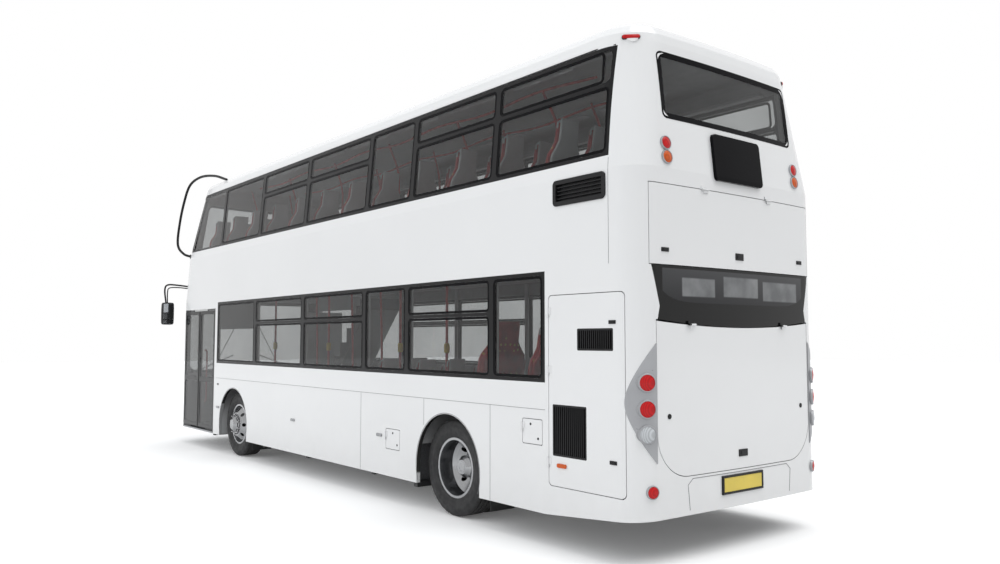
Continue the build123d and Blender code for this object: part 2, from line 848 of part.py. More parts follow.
# Columns: name, jamb, way towards the other leaf
door_leaves = (("rear", door_rear_x, 1), ("front", door_front_x, -1))
door_posts = {}
for name, jamb, way in door_leaves:
    post_x = jamb + way * arm_pivot
    reach = (abs(door_split_x - jamb) - leaf_meeting_gap - arm_pivot) / 2
    pivot_x = post_x + way * reach
    door_posts[name] = (post_x, pivot_x)
    ends = sorted((jamb + way * leaf_jamb_gap, door_split_x - way * leaf_meeting_gap))
    leaf_panes = [
        (shrink(ends, leaf_rail), (leaf_z[0] + leaf_rail, leaf_pane_split[0])),
        (shrink(ends, leaf_rail), (leaf_pane_split[1], leaf_z[1] - leaf_rail)),
    ]
    leaf_sides = (half_width - leaf_t, half_width)
    with BuildPart() as leaf:
        add(side_prism(ends, leaf_z, leaf_corner / 3, leaf_sides))
        for x, z in leaf_panes:
            add(side_prism(x, z, leaf_corner, leaf_sides), mode=Mode.SUBTRACT)
        for z, way_up in ((leaf_z[0], -1), (leaf_z[1], 1)):
            with Locations((pivot_x, leaf_y, z + way_up * (panel_gap + arm_t) / 2)):
                Cylinder(leaf_pin_r, panel_gap + arm_t)
    save(leaf.part, f"door_leaf_{name}")
    pane_y = (half_width - glass_inset - glass_thickness, half_width - glass_inset)
    leaf_glass = [
        side_prism(shrink(x, seat_gap), shrink(z, seat_gap), leaf_corner - seat_gap, pane_y)
        for x, z in leaf_panes
    ]
    save(gather(*leaf_glass), f"door_glass_{name}")
    with BuildPart() as arms:
        for z, way_up in ((arm_z[0], -1), (arm_z[1], 1)):
            with BuildSketch(Plane.XY.offset(z)):
                with Locations(((post_x + pivot_x) / 2, leaf_y)):
                    SlotCenterToCenter(reach, arm_w)
                with Locations((pivot_x, leaf_y)):
                    Circle(leaf_pin_r + seat_gap, mode=Mode.SUBTRACT)
            extrude(amount=arm_t)
            pin_z = z + arm_t / 2 + way_up * (arm_t / 2 + panel_gap)
            with Locations((post_x, leaf_y, pin_z)):
                Cylinder(arm_pin_r, 2 * panel_gap)
    save(arms.part, f"door_arms_{name}")
with BuildPart() as deck_panel_left:
    add(clip(panels, side_profile(header_points, kerb_side), [intake_hole]))
    for post_x, _ in door_posts.values():
        with Locations((post_x, leaf_y, door_top_z)):
            Cylinder(arm_pin_r + seat_gap, 2 * panel_gap + seat_gap, mode=Mode.SUBTRACT)
save(gather(deck_panel_left.part, deck_panel_right), "deck_panels")

# Wheels. Tyre and rim outlines are in (across, radius) from the wheel's middle
bead_r = 288
bead_half = 103
tyre_half = 137.5
widest_r = 395
tread_half = 119
rim_half = 112
rim_r = 300
flange_root = 8
flange_lip = 3.5
barrel_in_r = 276
wheel_offset = 156
front_wheel_y = 1053
twin_outer_y = 1053
twin_inner_y = twin_outer_y - 2 * wheel_offset
spindle_r = 45
hub_bore_r = spindle_r + seat_gap
hand_hole_r = 26
hand_hole_count = 8
hand_hole_pitch_r = 208
disc_t = 14
disc_root = 50
disc_face_r = 170
barrel_r = bead_r - seat_gap
tyre_outline = (
    (-bead_half, bead_r),
    (bead_half, bead_r),
    (tyre_half, widest_r),
    (tread_half, tyre_r),
    (-tread_half, tyre_r),
    (-tyre_half, widest_r),
)
# Dish open on the negative side, its mounting face at the wheel offset
rim_outline = (
    (-rim_half, rim_r),
    (-rim_half + flange_lip, rim_r),
    (-rim_half + flange_root, barrel_r),
    (rim_half - flange_root, barrel_r),
    (rim_half - flange_lip, rim_r),
    (rim_half, rim_r),
    (rim_half, barrel_in_r),
    (disc_root + disc_t, barrel_in_r),
    (wheel_offset, disc_face_r),
    (wheel_offset, hub_bore_r),
    (wheel_offset - disc_t, hub_bore_r),
    (wheel_offset - disc_t, disc_face_r),
    (disc_root, barrel_in_r),
    (-rim_half, barrel_in_r),
)
# Hubs, from the disc outward: bore for the spindle, then a closed cap
hub_r = 112
cap_r = 72
cap_t = 40
hub_in = 40
hub_out = 34
twin_hub_out = 150
bore_end_gap = 6


def wheel_plane(x, y, facing):
    """Plane through a wheel's axis, its first axis across the wheel."""
    return Plane((x, y, tyre_r), x_dir=(0, facing, 0), z_dir=(facing, 0, 0))


def revolved(outline, x, y, facing):
    """Ring or disc from an outline, turned about the wheel's axis."""
    with BuildPart() as piece:
        with BuildSketch(wheel_plane(x, y, facing)):
            with BuildLine():
                Polyline(*outline, close=True)
            make_face()
        revolve(axis=Axis((x, y, tyre_r), (0, 1, 0)))
    return piece.part


def rim(x, y, facing):
    """Rim and disc with round hand holes."""
    with BuildPart() as piece:
        add(revolved(rim_outline, x, y, facing))
        with Locations(Plane((x, y, tyre_r), x_dir=(1, 0, 0), z_dir=(0, facing, 0))):
            with PolarLocations(hand_hole_pitch_r, hand_hole_count):
                Cylinder(
                    hand_hole_r,
                    wheel_offset + overrun,
                    align=(Align.CENTER, Align.CENTER, Align.MIN),
                    mode=Mode.SUBTRACT,
                )
    return piece.part


def hub(x, y, facing, start, bore_end, end):
    """Hub with a blind bore that opens towards the middle of the bus."""
    outline = (
        (start, hub_bore_r),
        (start, hub_r),
        (end, hub_r),
        (end + cap_t, cap_r),
        (end + cap_t, 0),
        (bore_end, 0),
        (bore_end, hub_bore_r),
    )
    return revolved(outline, x, y, facing)


hub_start = wheel_offset - disc_t - hub_in
front_bore_end = wheel_offset + bore_end_gap
spindle_end = front_wheel_y + front_bore_end - bore_end_gap
twin_face_y = twin_outer_y - wheel_offset
twin_hub_start = -wheel_offset - hub_in - disc_t
twin_bore_end = -wheel_offset + twin_hub_out
twin_spindle_end = twin_outer_y + twin_bore_end - bore_end_gap
for name, side in sides:
    save(revolved(tyre_outline, front_axle_x, side * front_wheel_y, side), f"tyre_front_{name}")
    front_rim = gather(
        rim(front_axle_x, side * front_wheel_y, side),
        hub(front_axle_x, side * front_wheel_y, side, hub_start, front_bore_end, wheel_offset + hub_out),
    )
    save(front_rim, f"rim_front_{name}")
    twin_tyres = [
        revolved(tyre_outline, rear_axle_x, side * y, side) for y in (twin_outer_y, twin_inner_y)
    ]
    save(gather(*twin_tyres), f"tyres_rear_{name}")
    twin_rims = gather(
        rim(rear_axle_x, side * twin_outer_y, -side),
        rim(rear_axle_x, side * twin_inner_y, side),
        hub(rear_axle_x, side * twin_outer_y, side, twin_hub_start, twin_bore_end, twin_bore_end),
    )
    save(twin_rims, f"rims_rear_{name}")

# Front axle: dropped beam with kingpin bosses, and a forked knuckle on each
kingpin_y = 960
kingpin_r = 20
boss_r = 50
boss_half_h = 80
beam_w = 100
beam_low = (130, 205)
beam_drop_y = 600
beam_rise_y = 860
beam_arm = 50
fork_t = 30
fork_gap = 1
fork_w = 90
fork_web = (62, 84)
kingpin_bore_r = kingpin_r + seat_gap
beam_outline = [
    (beam_drop_y, beam_low[0]),
    (beam_rise_y, tyre_r - beam_arm),
    (kingpin_y, tyre_r - beam_arm),
    (kingpin_y, tyre_r + beam_arm),
    (beam_rise_y - 2 * beam_arm, tyre_r + beam_arm),
    (beam_drop_y - beam_arm, beam_low[1]),
]
beam_points = beam_outline + [(-y, z) for y, z in reversed(beam_outline)]
with BuildPart() as front_axle:
    with BuildSketch(Plane.YZ.offset(front_axle_x - beam_w / 2)):
        with BuildLine():
            Polyline(*beam_points, close=True)
        make_face()
    extrude(amount=beam_w)
    for side in ways:
        with Locations((front_axle_x, side * kingpin_y, tyre_r)):
            Cylinder(boss_r, 2 * boss_half_h)
            Cylinder(kingpin_bore_r, 2 * boss_half_h + overrun, mode=Mode.SUBTRACT)
for name, side in sides:
    with BuildPart() as knuckle:
        for way in ways:
            height = tyre_r + way * (boss_half_h + fork_gap + fork_t / 2)
            with Locations((front_axle_x, side * kingpin_y, height)):
                Cylinder(boss_r, fork_t)
            with Locations((front_axle_x, side * (kingpin_y + fork_web[1] / 2), height)):
                Box(fork_w, fork_web[1], fork_t)
        with Locations((front_axle_x, side * kingpin_y, tyre_r)):
            Cylinder(kingpin_r, 2 * (boss_half_h + fork_gap + fork_t))
        with Locations((front_axle_x, side * (kingpin_y + sum(fork_web) / 2), tyre_r)):
            Box(fork_w, fork_web[1] - fork_web[0], 2 * (boss_half_h + fork_gap + fork_t))
        with BuildSketch(Plane.XZ.offset(-side * (kingpin_y + fork_web[0]))):
            with Locations((front_axle_x, tyre_r)):
                Circle(spindle_r)
        extrude(amount=side * (kingpin_y + fork_web[0] - spindle_end))
    save(knuckle.part, f"knuckle_{name}")

# Rear axle: tube, drive casing, spindles and two spring beams
axle_tube_r = 70
casing_r = 190
casing_w = 300
tube_end_y = 640
spring_beam_y = 430
spring_beam_half = 420
spring_beam_z = (340, 395)
spring_beam_w = 90
spring_offset = 360
spring_x = (rear_axle_x - spring_offset, rear_axle_x + spring_offset)
rail_w = 70
rail_y = 430
rail_low_h = 58
rail_high_h = 85
rail_low = (skirt_z - rail_low_h, skirt_z)
rail_high = (rear_floor_z - floor_thickness - rail_high_h, rear_floor_z - floor_thickness)
with BuildPart() as rear_axle:
    with Locations(Location((rear_axle_x, 0, tyre_r), (90, 0, 0))):
        Cylinder(axle_tube_r, 2 * tube_end_y)
        Cylinder(spindle_r, 2 * twin_spindle_end)
        Cylinder(casing_r, casing_w)
    for side in ways:
        with Locations((rear_axle_x, side * spring_beam_y, sum(spring_beam_z) / 2)):
            Box(2 * spring_beam_half, spring_beam_w, spring_beam_z[1] - spring_beam_z[0])
        with Locations((rear_axle_x, side * spring_beam_y, (spring_beam_z[1] + tyre_r) / 2)):
            Box(2 * axle_tube_r, spring_beam_w, tyre_r - spring_beam_z[1])
save(gather(front_axle.part, rear_axle.part), "axles")
bellows_r = 105
bellows_waist = 88
bellows_h = rail_high[0] - spring_beam_z[1]
with BuildPart() as air_springs:
    for side in ways:
        for x in spring_x:
            foot = Plane((x, side * spring_beam_y, spring_beam_z[1]), x_dir=(1, 0, 0), z_dir=(0, -1, 0))
            with BuildSketch(foot):
                with BuildLine():
                    Polyline(
                        (0, 0),
                        (bellows_waist, 0),
                        (bellows_r, bellows_h / 4),
                        (bellows_waist, bellows_h / 2),
                        (bellows_r, bellows_h * 3 / 4),
                        (bellows_waist, bellows_h),
                        (0, bellows_h),
                        close=True,
                    )
                make_face()
            revolve(axis=Axis((x, side * spring_beam_y, 0), (0, 0, 1)))
save(air_springs.part, "air_springs")

# Chassis: low rails forward of the rise, high rails over the rear axle, cross members
rail_front_x = at(10550)
rail_rear_x = at(120)
engine_x = (at(190), at(1060))
engine_z = (470, 1500)
cross_w = 60
low_cross_x = (at(4200), at(5900), at(7300), at(9300))
with BuildPart() as chassis:
    for side in ways:
        y = side * rail_y
        add(slab((rise_x - rail_w, rail_front_x), (y - rail_w / 2, y + rail_w / 2), rail_low))
        add(slab((rail_rear_x, rise_x), (y - rail_w / 2, y + rail_w / 2), rail_high))
        add(slab((rise_x - rail_w, rise_x), (y - rail_w / 2, y + rail_w / 2), (rail_low[0], rail_high[1])))
        add(
            slab(
                (front_axle_x - beam_w / 2, front_axle_x + beam_w / 2),
                (y - rail_w / 2, y + rail_w / 2),
                (beam_low[1], rail_low[0]),
            )
        )
    for x in low_cross_x:
        add(slab((x, x + cross_w), (-half_width + wall + rail_w, half_width - wall - rail_w), rail_low))
    add(slab((rise_x - rail_w, rise_x), (-half_width + wall, half_width - wall), rail_low))
    add(slab((bulkhead_x, bulkhead_x + cross_w), (-half_width + wall, half_width - wall), rail_high))
    add(slab((rail_rear_x, rail_rear_x + cross_w), (-rail_y, rail_y), rail_high))
save(chassis.part, "chassis_frame")
engine_half = rail_y - rail_w / 2
save(slab(engine_x, (-engine_half, engine_half), engine_z), "engine")

# Floors, bulkhead and wheel housings fit the inside of the body
inside = hull(wall + seat_gap, overrun)
housing_t = 20
housing_half = 562
housing_top_z = 1060
front_housing_y = 572
rear_housing_y = 565
sheet_t = 30
cabin_front_x = at(10860)
doorway_floor = slab(
    (door_rear_x + seat_gap, door_front_x - seat_gap),
    (half_width - wall - overrun, half_width - glass_inset),
    (low_floor_z - floor_thickness, low_floor_z),
)
with BuildPart() as floor_lower:
    add(slab((rise_x, cabin_front_x), whole_width, (low_floor_z - floor_thickness, low_floor_z)))
    add(slab((bulkhead_x, rise_x), whole_width, (rear_floor_z - floor_thickness, rear_floor_z)))
    add(slab((rise_x, rise_x + sheet_t), whole_width, (low_floor_z - floor_thickness, rear_floor_z)))
    add(slab((bulkhead_x, bulkhead_x + sheet_t), whole_width, (rear_floor_z, landing_z)))
    add(inside, mode=Mode.INTERSECT)
    add(doorway_floor)
    for axle_x, inner_y in ((front_axle_x, front_housing_y), (rear_axle_x, rear_housing_y)):
        for side in ways:
            y = sorted((side * inner_y, side * (half_width + overrun)))
            add(
                slab((axle_x - housing_half, axle_x + housing_half), y, (0, housing_top_z)),
                mode=Mode.SUBTRACT,
            )
    for post_x, _ in door_posts.values():
        with Locations((post_x, leaf_y, low_floor_z)):
            Cylinder(arm_pin_r + seat_gap, 2 * panel_gap + 2 * seat_gap, mode=Mode.SUBTRACT)
save(floor_lower.part, "floor_lower")
with BuildPart() as housings:
    for axle_x, inner_y, foot in (
        (front_axle_x, front_housing_y, low_floor_z - floor_thickness),
        (rear_axle_x, rear_housing_y, rear_floor_z - floor_thickness),
    ):
        for side in ways:
            outer_y = half_width - wall - seat_gap
            y = sorted((side * inner_y, side * outer_y))
            x = shrink((axle_x - housing_half, axle_x + housing_half), seat_gap)
            add(slab(x, y, (foot, housing_top_z)))
            hollow_y = sorted((side * (inner_y + housing_t), side * (outer_y + overrun)))
            add(
                slab(shrink(x, housing_t), hollow_y, (0, housing_top_z - housing_t)),
                mode=Mode.SUBTRACT,
            )
save(housings.part, "wheel_housings")

# Stairs on the offside, over the front wheel housing, and the well they rise through
stair_steps = 10
stair_run = 222
stair_rise = (upper_floor_z - low_floor_z) / stair_steps
stair_y = (-1200, -600)
stair_front_x = front_axle_x + housing_half + 3 * stair_run + 2 * panel_gap
stair_depth = 180
stair_well_x = (stair_front_x - (stair_steps - 1) * stair_run, stair_front_x - stair_run)
stair_profile = [(stair_front_x, low_floor_z)]
for step in range(stair_steps - 1):
    tread_z = low_floor_z + (step + 1) * stair_rise
    stair_profile.append((stair_front_x - step * stair_run, tread_z))
    stair_profile.append((stair_front_x - (step + 1) * stair_run, tread_z))
stair_top_x = stair_profile[-1][0]
stair_bend = stair_steps / 2
stair_profile.append((stair_top_x, stair_profile[-1][1] - stair_depth))
stair_bend_z = low_floor_z + stair_bend * stair_rise - stair_depth
stair_profile.append((stair_front_x - stair_bend * stair_run, stair_bend_z))
stair_profile.append((front_axle_x + housing_half + panel_gap, housing_top_z + panel_gap))
stair_profile.append((front_axle_x + housing_half + panel_gap, low_floor_z))
save(side_profile(stair_profile, stair_y), "staircase")
well_block = slab(
    (stair_top_x, stair_well_x[1]),
    (stair_y[0] - overrun, stair_y[1] + panel_gap),
    (landing_z - overrun, upper_floor_z + overrun),
)
upper_floor_rear_x = at(60)
floor_upper = clip(
    inside, slab((upper_floor_rear_x, cabin_front_x), whole_width, (landing_z, upper_floor_z)), [well_block]
)
save(floor_upper, "floor_upper")

# Seats: one outline of cushion, back and pedestal, forward and up from the back's foot
seat_length = 470
seat_height = 1110
# Columns: share of the length forward, share of the height up
seat_outline_shares = (
    (0.15, 0),
    (0.6, 0),
    (0.6, 0.31),
    (0.99, 0.315),
    (1, 0.396),
    (0.23, 0.383),
    (0.064, 0.955),
    (0, 1),
    (-0.117, 1),
    (-0.106, 0.9),
    (0.053, 0.342),
    (0.15, 0.31),
)
seat_pitch = 777
first_row_x = at(1215)
upper_rows = 12
well_rows = (8, 9, 10)
upper_seat_y = (310, 1150)
lower_seat_y = (360, 1170)


def seat(x, floor_z, foot_z, y):
    """Double seat at a station; its pedestal stands on a foot above or below the seat's base."""
    points = []
    for forward_share, up_share in seat_outline_shares:
        z = floor_z + up_share * seat_height if up_share else foot_z
        points.append((x + forward_share * seat_length, z))
    return side_profile(points, y)


upper_seats = []
for row in range(upper_rows):
    x = first_row_x + row * seat_pitch
    upper_seats.append(seat(x, upper_floor_z, upper_floor_z, upper_seat_y))
    if row not in well_rows:
        upper_seats.append(seat(x, upper_floor_z, upper_floor_z, (-upper_seat_y[1], -upper_seat_y[0])))
save(gather(*upper_seats), "seats_upper")
# Columns: station, seat base, height that the pedestal stands on, which sides
plinth = 140
lower_rows = (
    (at(1440), 790, rear_floor_z, (1,)),
    (at(2200), 840, housing_top_z, (1, -1)),
    (at(3480), low_floor_z + plinth, low_floor_z, (1, -1)),
    (at(4260), low_floor_z + plinth, low_floor_z, (1, -1)),
    (at(5040), low_floor_z, low_floor_z, (1, -1)),
    (at(5820), low_floor_z, low_floor_z, (1, -1)),
    (at(6600), low_floor_z, low_floor_z, (1,)),
)
lower_seats = []
for x, floor_z, foot_z, which in lower_rows:
    for side in which:
        y = tuple(sorted((side * lower_seat_y[0], side * lower_seat_y[1])))
        if foot_z == housing_top_z:
            y = tuple(sorted((side * (rear_housing_y + panel_gap), side * lower_seat_y[1])))
        lower_seats.append(seat(x, floor_z, foot_z, y))

# Grab poles along the aisle
pole_r = 17
pole_y = 320
pole_x = (at(8900), at(7000), at(5000), at(3950))
with BuildPart() as handrails:
    for x in pole_x:
        with Locations((x, pole_y, (low_floor_z + landing_z) / 2)):
            Cylinder(pole_r, landing_z - low_floor_z)
save(handrails.part, "handrails")

# Cab: dash, partition, driver's seat and steering wheel
cab_y = -420
partition_x = (stair_front_x + panel_gap, stair_front_x + panel_gap + sheet_t)
partition_z = (low_floor_z, 2250)
dash_x = (at(10330), at(10860))
dash_z = (low_floor_z, 1120)
dash_y = (-half_width, 330)
driver_x = at(9720)
driver_y = (-980, -520)
driver_plinth = 130
driver_base = low_floor_z + driver_plinth
wheel_centre = (at(10220), -750, 1190)
wheel_tilt = 28
wheel_r = 225
wheel_grip_r = 16
grip_sides = 8
spoke_w = 34
spoke_t = 12
hub_cap_r = 46
column_r = 26
column_length = 420
wheel_place = Plane(
    wheel_centre,
    x_dir=(cos(radians(wheel_tilt)), 0, sin(radians(wheel_tilt))),
    z_dir=(-sin(radians(wheel_tilt)), 0, cos(radians(wheel_tilt))),
)
with BuildPart() as cab:
    add(slab(dash_x, dash_y, dash_z))
    add(inside, mode=Mode.INTERSECT)
    add(slab(partition_x, (-half_width + wall + seat_gap, cab_y), partition_z))
    add(slab((partition_x[1], dash_x[0]), (cab_y - sheet_t, cab_y), (low_floor_z, dash_z[1])))
    with BuildSketch(wheel_place.offset(-spoke_t - seat_gap)):
        Circle(column_r)
    extrude(amount=-column_length)
save(cab.part, "cab_furniture")
lower_seats.append(seat(driver_x, driver_base, low_floor_z, driver_y))
save(gather(*lower_seats), "seats_lower")
with BuildPart() as grip:
    with BuildSketch(Plane(wheel_place.origin, x_dir=wheel_place.x_dir, z_dir=-wheel_place.y_dir)):
        with Locations((wheel_r, 0)):
            RegularPolygon(wheel_grip_r, grip_sides)
    revolve(axis=Axis(wheel_place.origin, wheel_place.z_dir))
with BuildPart(wheel_place) as spokes:
    Box(2 * wheel_r, spoke_w, spoke_t)
    Box(spoke_w, 2 * wheel_r, spoke_t)
    Cylinder(hub_cap_r, 2 * spoke_t)
save(gather(grip.part, spokes.part), "steering_wheel")

# Front corner, for what stands on it
nose_r = (half_width**2 + front_bow**2) / (2 * front_bow)


def corner_point(height, angle, out=0):
    """Point on the kerb side front corner, at an angle from straight ahead, some way out."""
    above = [row for row in hull_levels if row[0] >= height][0]
    below = [row for row in hull_levels if row[0] < height][-1]
    share = (height - below[0]) / (above[0] - below[0])
    setback, side_inset, radius = (
        below[column] + (above[column] - below[column]) * share for column in (2, 3, 5)
    )
    centre_y = half_width - side_inset - radius
    nose_centre = at(body_length - setback - nose_r)
    centre_x = nose_centre + sqrt((nose_r - radius) ** 2 - centre_y**2)
    reach = radius + out
    return (centre_x + reach * cos(radians(angle)), centre_y + reach * sin(radians(angle)), height)


def mirrored(piece):
    """The same piece on the offside."""
    return mirror(piece, about=Plane.XZ, mode=Mode.PRIVATE)


# Mirrors: a foot on the corner, a bent arm and a rounded head
arm_r = 16
foot_size = 45
foot_proud = trim_proud
arm_foot_z = 2690
arm_foot_angle = 35
arm_bend = (at(11070), 1482, 2735)
head_size = (110, 210, 400)
head_centre = (at(body_length + mirror_reach - head_size[0] / 2), 1415, 2225)
head_corner = 40
arm_bend_r = 90
arm_start = corner_point(arm_foot_z, arm_foot_angle, foot_proud / 2)
arm_lead = corner_point(arm_foot_z, arm_foot_angle, 2 * arm_bend_r)
arm_end = (head_centre[0], head_centre[1], head_centre[2] + head_size[2] / 2 - arm_r)
with BuildPart() as mirror_left:
    add(trims)
    foot_plane = Plane(
        arm_start,
        x_dir=(0, 0, 1),
        z_dir=(cos(radians(arm_foot_angle)), sin(radians(arm_foot_angle)), 0),
    )
    with BuildSketch(foot_plane.offset(-3 * foot_proud)):
        RectangleRounded(3 * foot_size, 1.5 * foot_size, foot_size / 3)
    extrude(amount=6 * foot_proud, mode=Mode.INTERSECT)
    with BuildLine() as arm_line:
        FilletPolyline(arm_start, arm_lead, arm_bend, arm_end, radius=arm_bend_r)
    with BuildSketch(foot_plane):
        Circle(arm_r)
    sweep(path=arm_line.line)
    with BuildSketch(Plane.XY.offset(head_centre[2] - head_size[2] / 2)):
        with Locations(head_centre[:2]):
            RectangleRounded(head_size[0], head_size[1], head_corner)
    extrude(amount=head_size[2])
save(gather(mirror_left.part, mirrored(mirror_left.part)), "mirrors")

# Branch guard: a bent tube from the front corner over the roof's edge
guard_r = 22
guard_foot_z = 3200
guard_foot_angle = 72
guard_knee = (at(10660), 1395, 3430)
guard_top = (at(10350), 1335, 4470)
guard_crest = (at(9990), 1245, 4560)
guard_end = (at(9130), 1110, 4445)
guard_bend_r = 120
guard_post_r = 20
guard_start = corner_point(guard_foot_z, guard_foot_angle, foot_proud / 2)
guard_lead = corner_point(guard_foot_z, guard_foot_angle, guard_bend_r)
with BuildPart() as tree_guard:
    add(trims)
    guard_plane = Plane(
        guard_start,
        x_dir=(0, 0, 1),
        z_dir=(cos(radians(guard_foot_angle)), sin(radians(guard_foot_angle)), 0),
    )
    with BuildSketch(guard_plane.offset(-3 * foot_proud)):
        Circle(foot_size)
    extrude(amount=6 * foot_proud, mode=Mode.INTERSECT)
    with BuildLine() as guard_line:
        guard_route = (guard_start, guard_lead, guard_knee, guard_top, guard_crest, guard_end)
        FilletPolyline(*guard_route, radius=guard_bend_r / 2)
    with BuildSketch(guard_plane):
        Circle(guard_r)
    sweep(path=guard_line.line)
with BuildPart() as guard_foot:
    add(trims)
    with BuildSketch(Plane.XY.offset(upper_head_z)):
        with Locations(guard_end[:2]):
            Circle(foot_size)
    extrude(amount=body_height - upper_head_z, mode=Mode.INTERSECT)
with BuildPart() as guard_post:
    add(guard_foot.part)
    with BuildSketch(Plane.XY.offset(guard_end[2])):
        with Locations(guard_end[:2]):
            Circle(guard_post_r)
    extrude(until=Until.PREVIOUS)
save(gather(tree_guard.part, guard_post.part), "tree_guard")
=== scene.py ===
"""Looks of the double decker bus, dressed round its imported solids."""
from math import cos, pi, radians, sin

import bpy
import bmesh
from mathutils import Matrix, Vector
from mathutils.bvhtree import BVHTree


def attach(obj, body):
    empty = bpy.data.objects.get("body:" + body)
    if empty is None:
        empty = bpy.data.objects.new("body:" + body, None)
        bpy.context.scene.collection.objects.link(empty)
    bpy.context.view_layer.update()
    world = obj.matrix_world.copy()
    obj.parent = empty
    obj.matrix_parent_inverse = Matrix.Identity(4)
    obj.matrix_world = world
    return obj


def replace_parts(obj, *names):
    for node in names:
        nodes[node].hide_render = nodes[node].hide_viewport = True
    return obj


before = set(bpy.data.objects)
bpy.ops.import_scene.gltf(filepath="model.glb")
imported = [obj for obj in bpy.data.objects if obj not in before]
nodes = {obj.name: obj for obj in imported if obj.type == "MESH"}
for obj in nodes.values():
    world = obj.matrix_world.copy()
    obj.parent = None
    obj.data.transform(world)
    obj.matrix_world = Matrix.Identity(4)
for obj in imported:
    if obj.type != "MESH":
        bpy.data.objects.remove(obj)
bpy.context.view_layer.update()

# Places, in metres; stations are measured forward from the rear face
ORIGIN = 5.535
HALF = 1.275
REAR_AXLE = 2.590 - ORIGIN
FRONT_AXLE = 8.250 - ORIGIN
TYRE_R = 0.478
ARCH_R = 0.542
WHEEL_Y = 1.053
TWIN_Y = 0.741
LOW_FLOOR = 0.300
UPPER_FLOOR = 2.660
SILL = 1.392
CEILING = 4.385
LANDING = 2.600
SKIRT_FOOT = 0.275
ARCH_FOOT = 0.272
ARCH_EDGE = ARCH_R + 0.008


def at(station):
    """Place along X of a station from the rear face."""
    return station - ORIGIN


def side_limits(side, near, far):
    """Limits across the bus, on one side of it."""
    return sorted((side * near, side * far))


# Camera
CAMERA_AT = (-9.923, 6.172, 1.765)
CAMERA_YAW = radians(-38.663)
CAMERA_PITCH = radians(3.904)
CAMERA_LENS = 30.32
camera_data = bpy.data.cameras.new("camera")
camera_data.lens = CAMERA_LENS
camera_data.sensor_width = 36
camera_data.sensor_fit = "HORIZONTAL"
camera = bpy.data.objects.new("camera", camera_data)
bpy.context.scene.collection.objects.link(camera)
camera.location = CAMERA_AT
camera.rotation_mode = "QUATERNION"
level = cos(CAMERA_PITCH)
gaze = Vector((level * cos(CAMERA_YAW), level * sin(CAMERA_YAW), sin(CAMERA_PITCH)))
camera.rotation_quaternion = gaze.to_track_quat("-Z", "Y")
bpy.context.scene.camera = camera
bpy.context.scene.view_settings.view_transform = "Standard"


# Materials
class Shader:
    """Node tree of one material or world, built from its inputs up."""

    def __init__(self, name, world=False):
        self.end = "ShaderNodeOutputWorld" if world else "ShaderNodeOutputMaterial"
        self.owner = (bpy.data.worlds if world else bpy.data.materials).new(name)
        self.owner.use_nodes = True
        self.tree = self.owner.node_tree
        self.tree.nodes.clear()
        self.coords = self.node("ShaderNodeTexCoord").outputs

    def node(self, kind, values=(), **settings):
        made = self.tree.nodes.new(kind)
        for key, value in settings.items():
            setattr(made, key, value)
        for key, value in dict(values).items():
            self.feed(value, made.inputs[key])
        return made

    def feed(self, value, target):
        if isinstance(value, bpy.types.NodeSocket):
            self.tree.links.new(value, target)
        elif target.type == "RGBA" and len(value) == 3:
            target.default_value = (*value, 1)
        else:
            target.default_value = value

    def noise(self, scale, detail=3, rough=0.5, vector=None):
        place = vector or self.coords["Object"]
        values = {"Vector": place, "Scale": scale, "Detail": detail, "Roughness": rough}
        return self.node("ShaderNodeTexNoise", values).outputs[0]

    def span(self, value, low, high, to_low=0.0, to_high=1.0):
        values = {0: value, 1: low, 2: high, 3: to_low, 4: to_high}
        return self.node("ShaderNodeMapRange", values).outputs[0]

    def cloud(self, scale, detail, to_low=0.0, to_high=1.0):
        """Noise with its middle spread over the whole range."""
        return self.span(self.noise(scale, detail), 0.3, 0.7, to_low, to_high)

    def math(self, operation, first, second=0.0):
        return self.node("ShaderNodeMath", {0: first, 1: second}, operation=operation).outputs[0]

    def length(self, first, second):
        """Length of a vector with these two parts."""
        squares = [self.math("POWER", part, 2.0) for part in (first, second)]
        return self.math("SQRT", self.math("ADD", *squares))

    def vector(self, operation, first, second, output=0):
        return self.node("ShaderNodeVectorMath", {0: first, 1: second}, operation=operation).outputs[output]

    def seen(self):
        """One for rays from the camera, off a mirror or through glass."""
        path = self.node("ShaderNodeLightPath").outputs
        passed = self.math("MAXIMUM", path["Is Glossy Ray"], path["Is Transmission Ray"])
        return self.math("MAXIMUM", path["Is Camera Ray"], passed)

    def mix(self, share, first, second):
        mixer = self.node("ShaderNodeMix", data_type="RGBA")
        self.feed(share, mixer.inputs[0])
        self.feed(first, mixer.inputs[6])
        self.feed(second, mixer.inputs[7])
        return mixer.outputs[2]

    def axes(self, vector=None):
        return self.node("ShaderNodeSeparateXYZ", {0: vector or self.coords["Object"]}).outputs

    def bump(self, height, strength, distance=0.002):
        values = {"Height": height, "Strength": strength, "Distance": distance}
        return self.node("ShaderNodeBump", values).outputs[0]

    def surface(self, values):
        return self.node("ShaderNodeBsdfPrincipled", values).outputs[0]

    def finish(self, shader):
        self.node(self.end, {"Surface": shader})
        return self.owner


def shades(color, spread):
    """A darker and a lighter shade of a colour."""
    return [tuple(min(1.0, channel * (1 + way * spread)) for channel in color) for way in (-1, 1)]


def plain(name, color, roughness, metallic=0.0, spread=0.12, scale=3.0, grain=180.0, relief=0.15,
          specular=0.5):
    """Paint, plastic, rubber or metal: clouded colour, uneven gloss and fine grain."""
    s = Shader(name)
    return s.finish(s.surface({
        "Base Color": s.mix(s.cloud(scale, 5), *shades(color, spread)),
        "Roughness": s.cloud(scale * 4, 4, roughness * 0.8, min(1.0, roughness * 1.25)),
        "Metallic": metallic,
        "Specular IOR Level": specular,
        "Normal": s.bump(s.noise(grain, 2), relief, 0.0006),
    }))


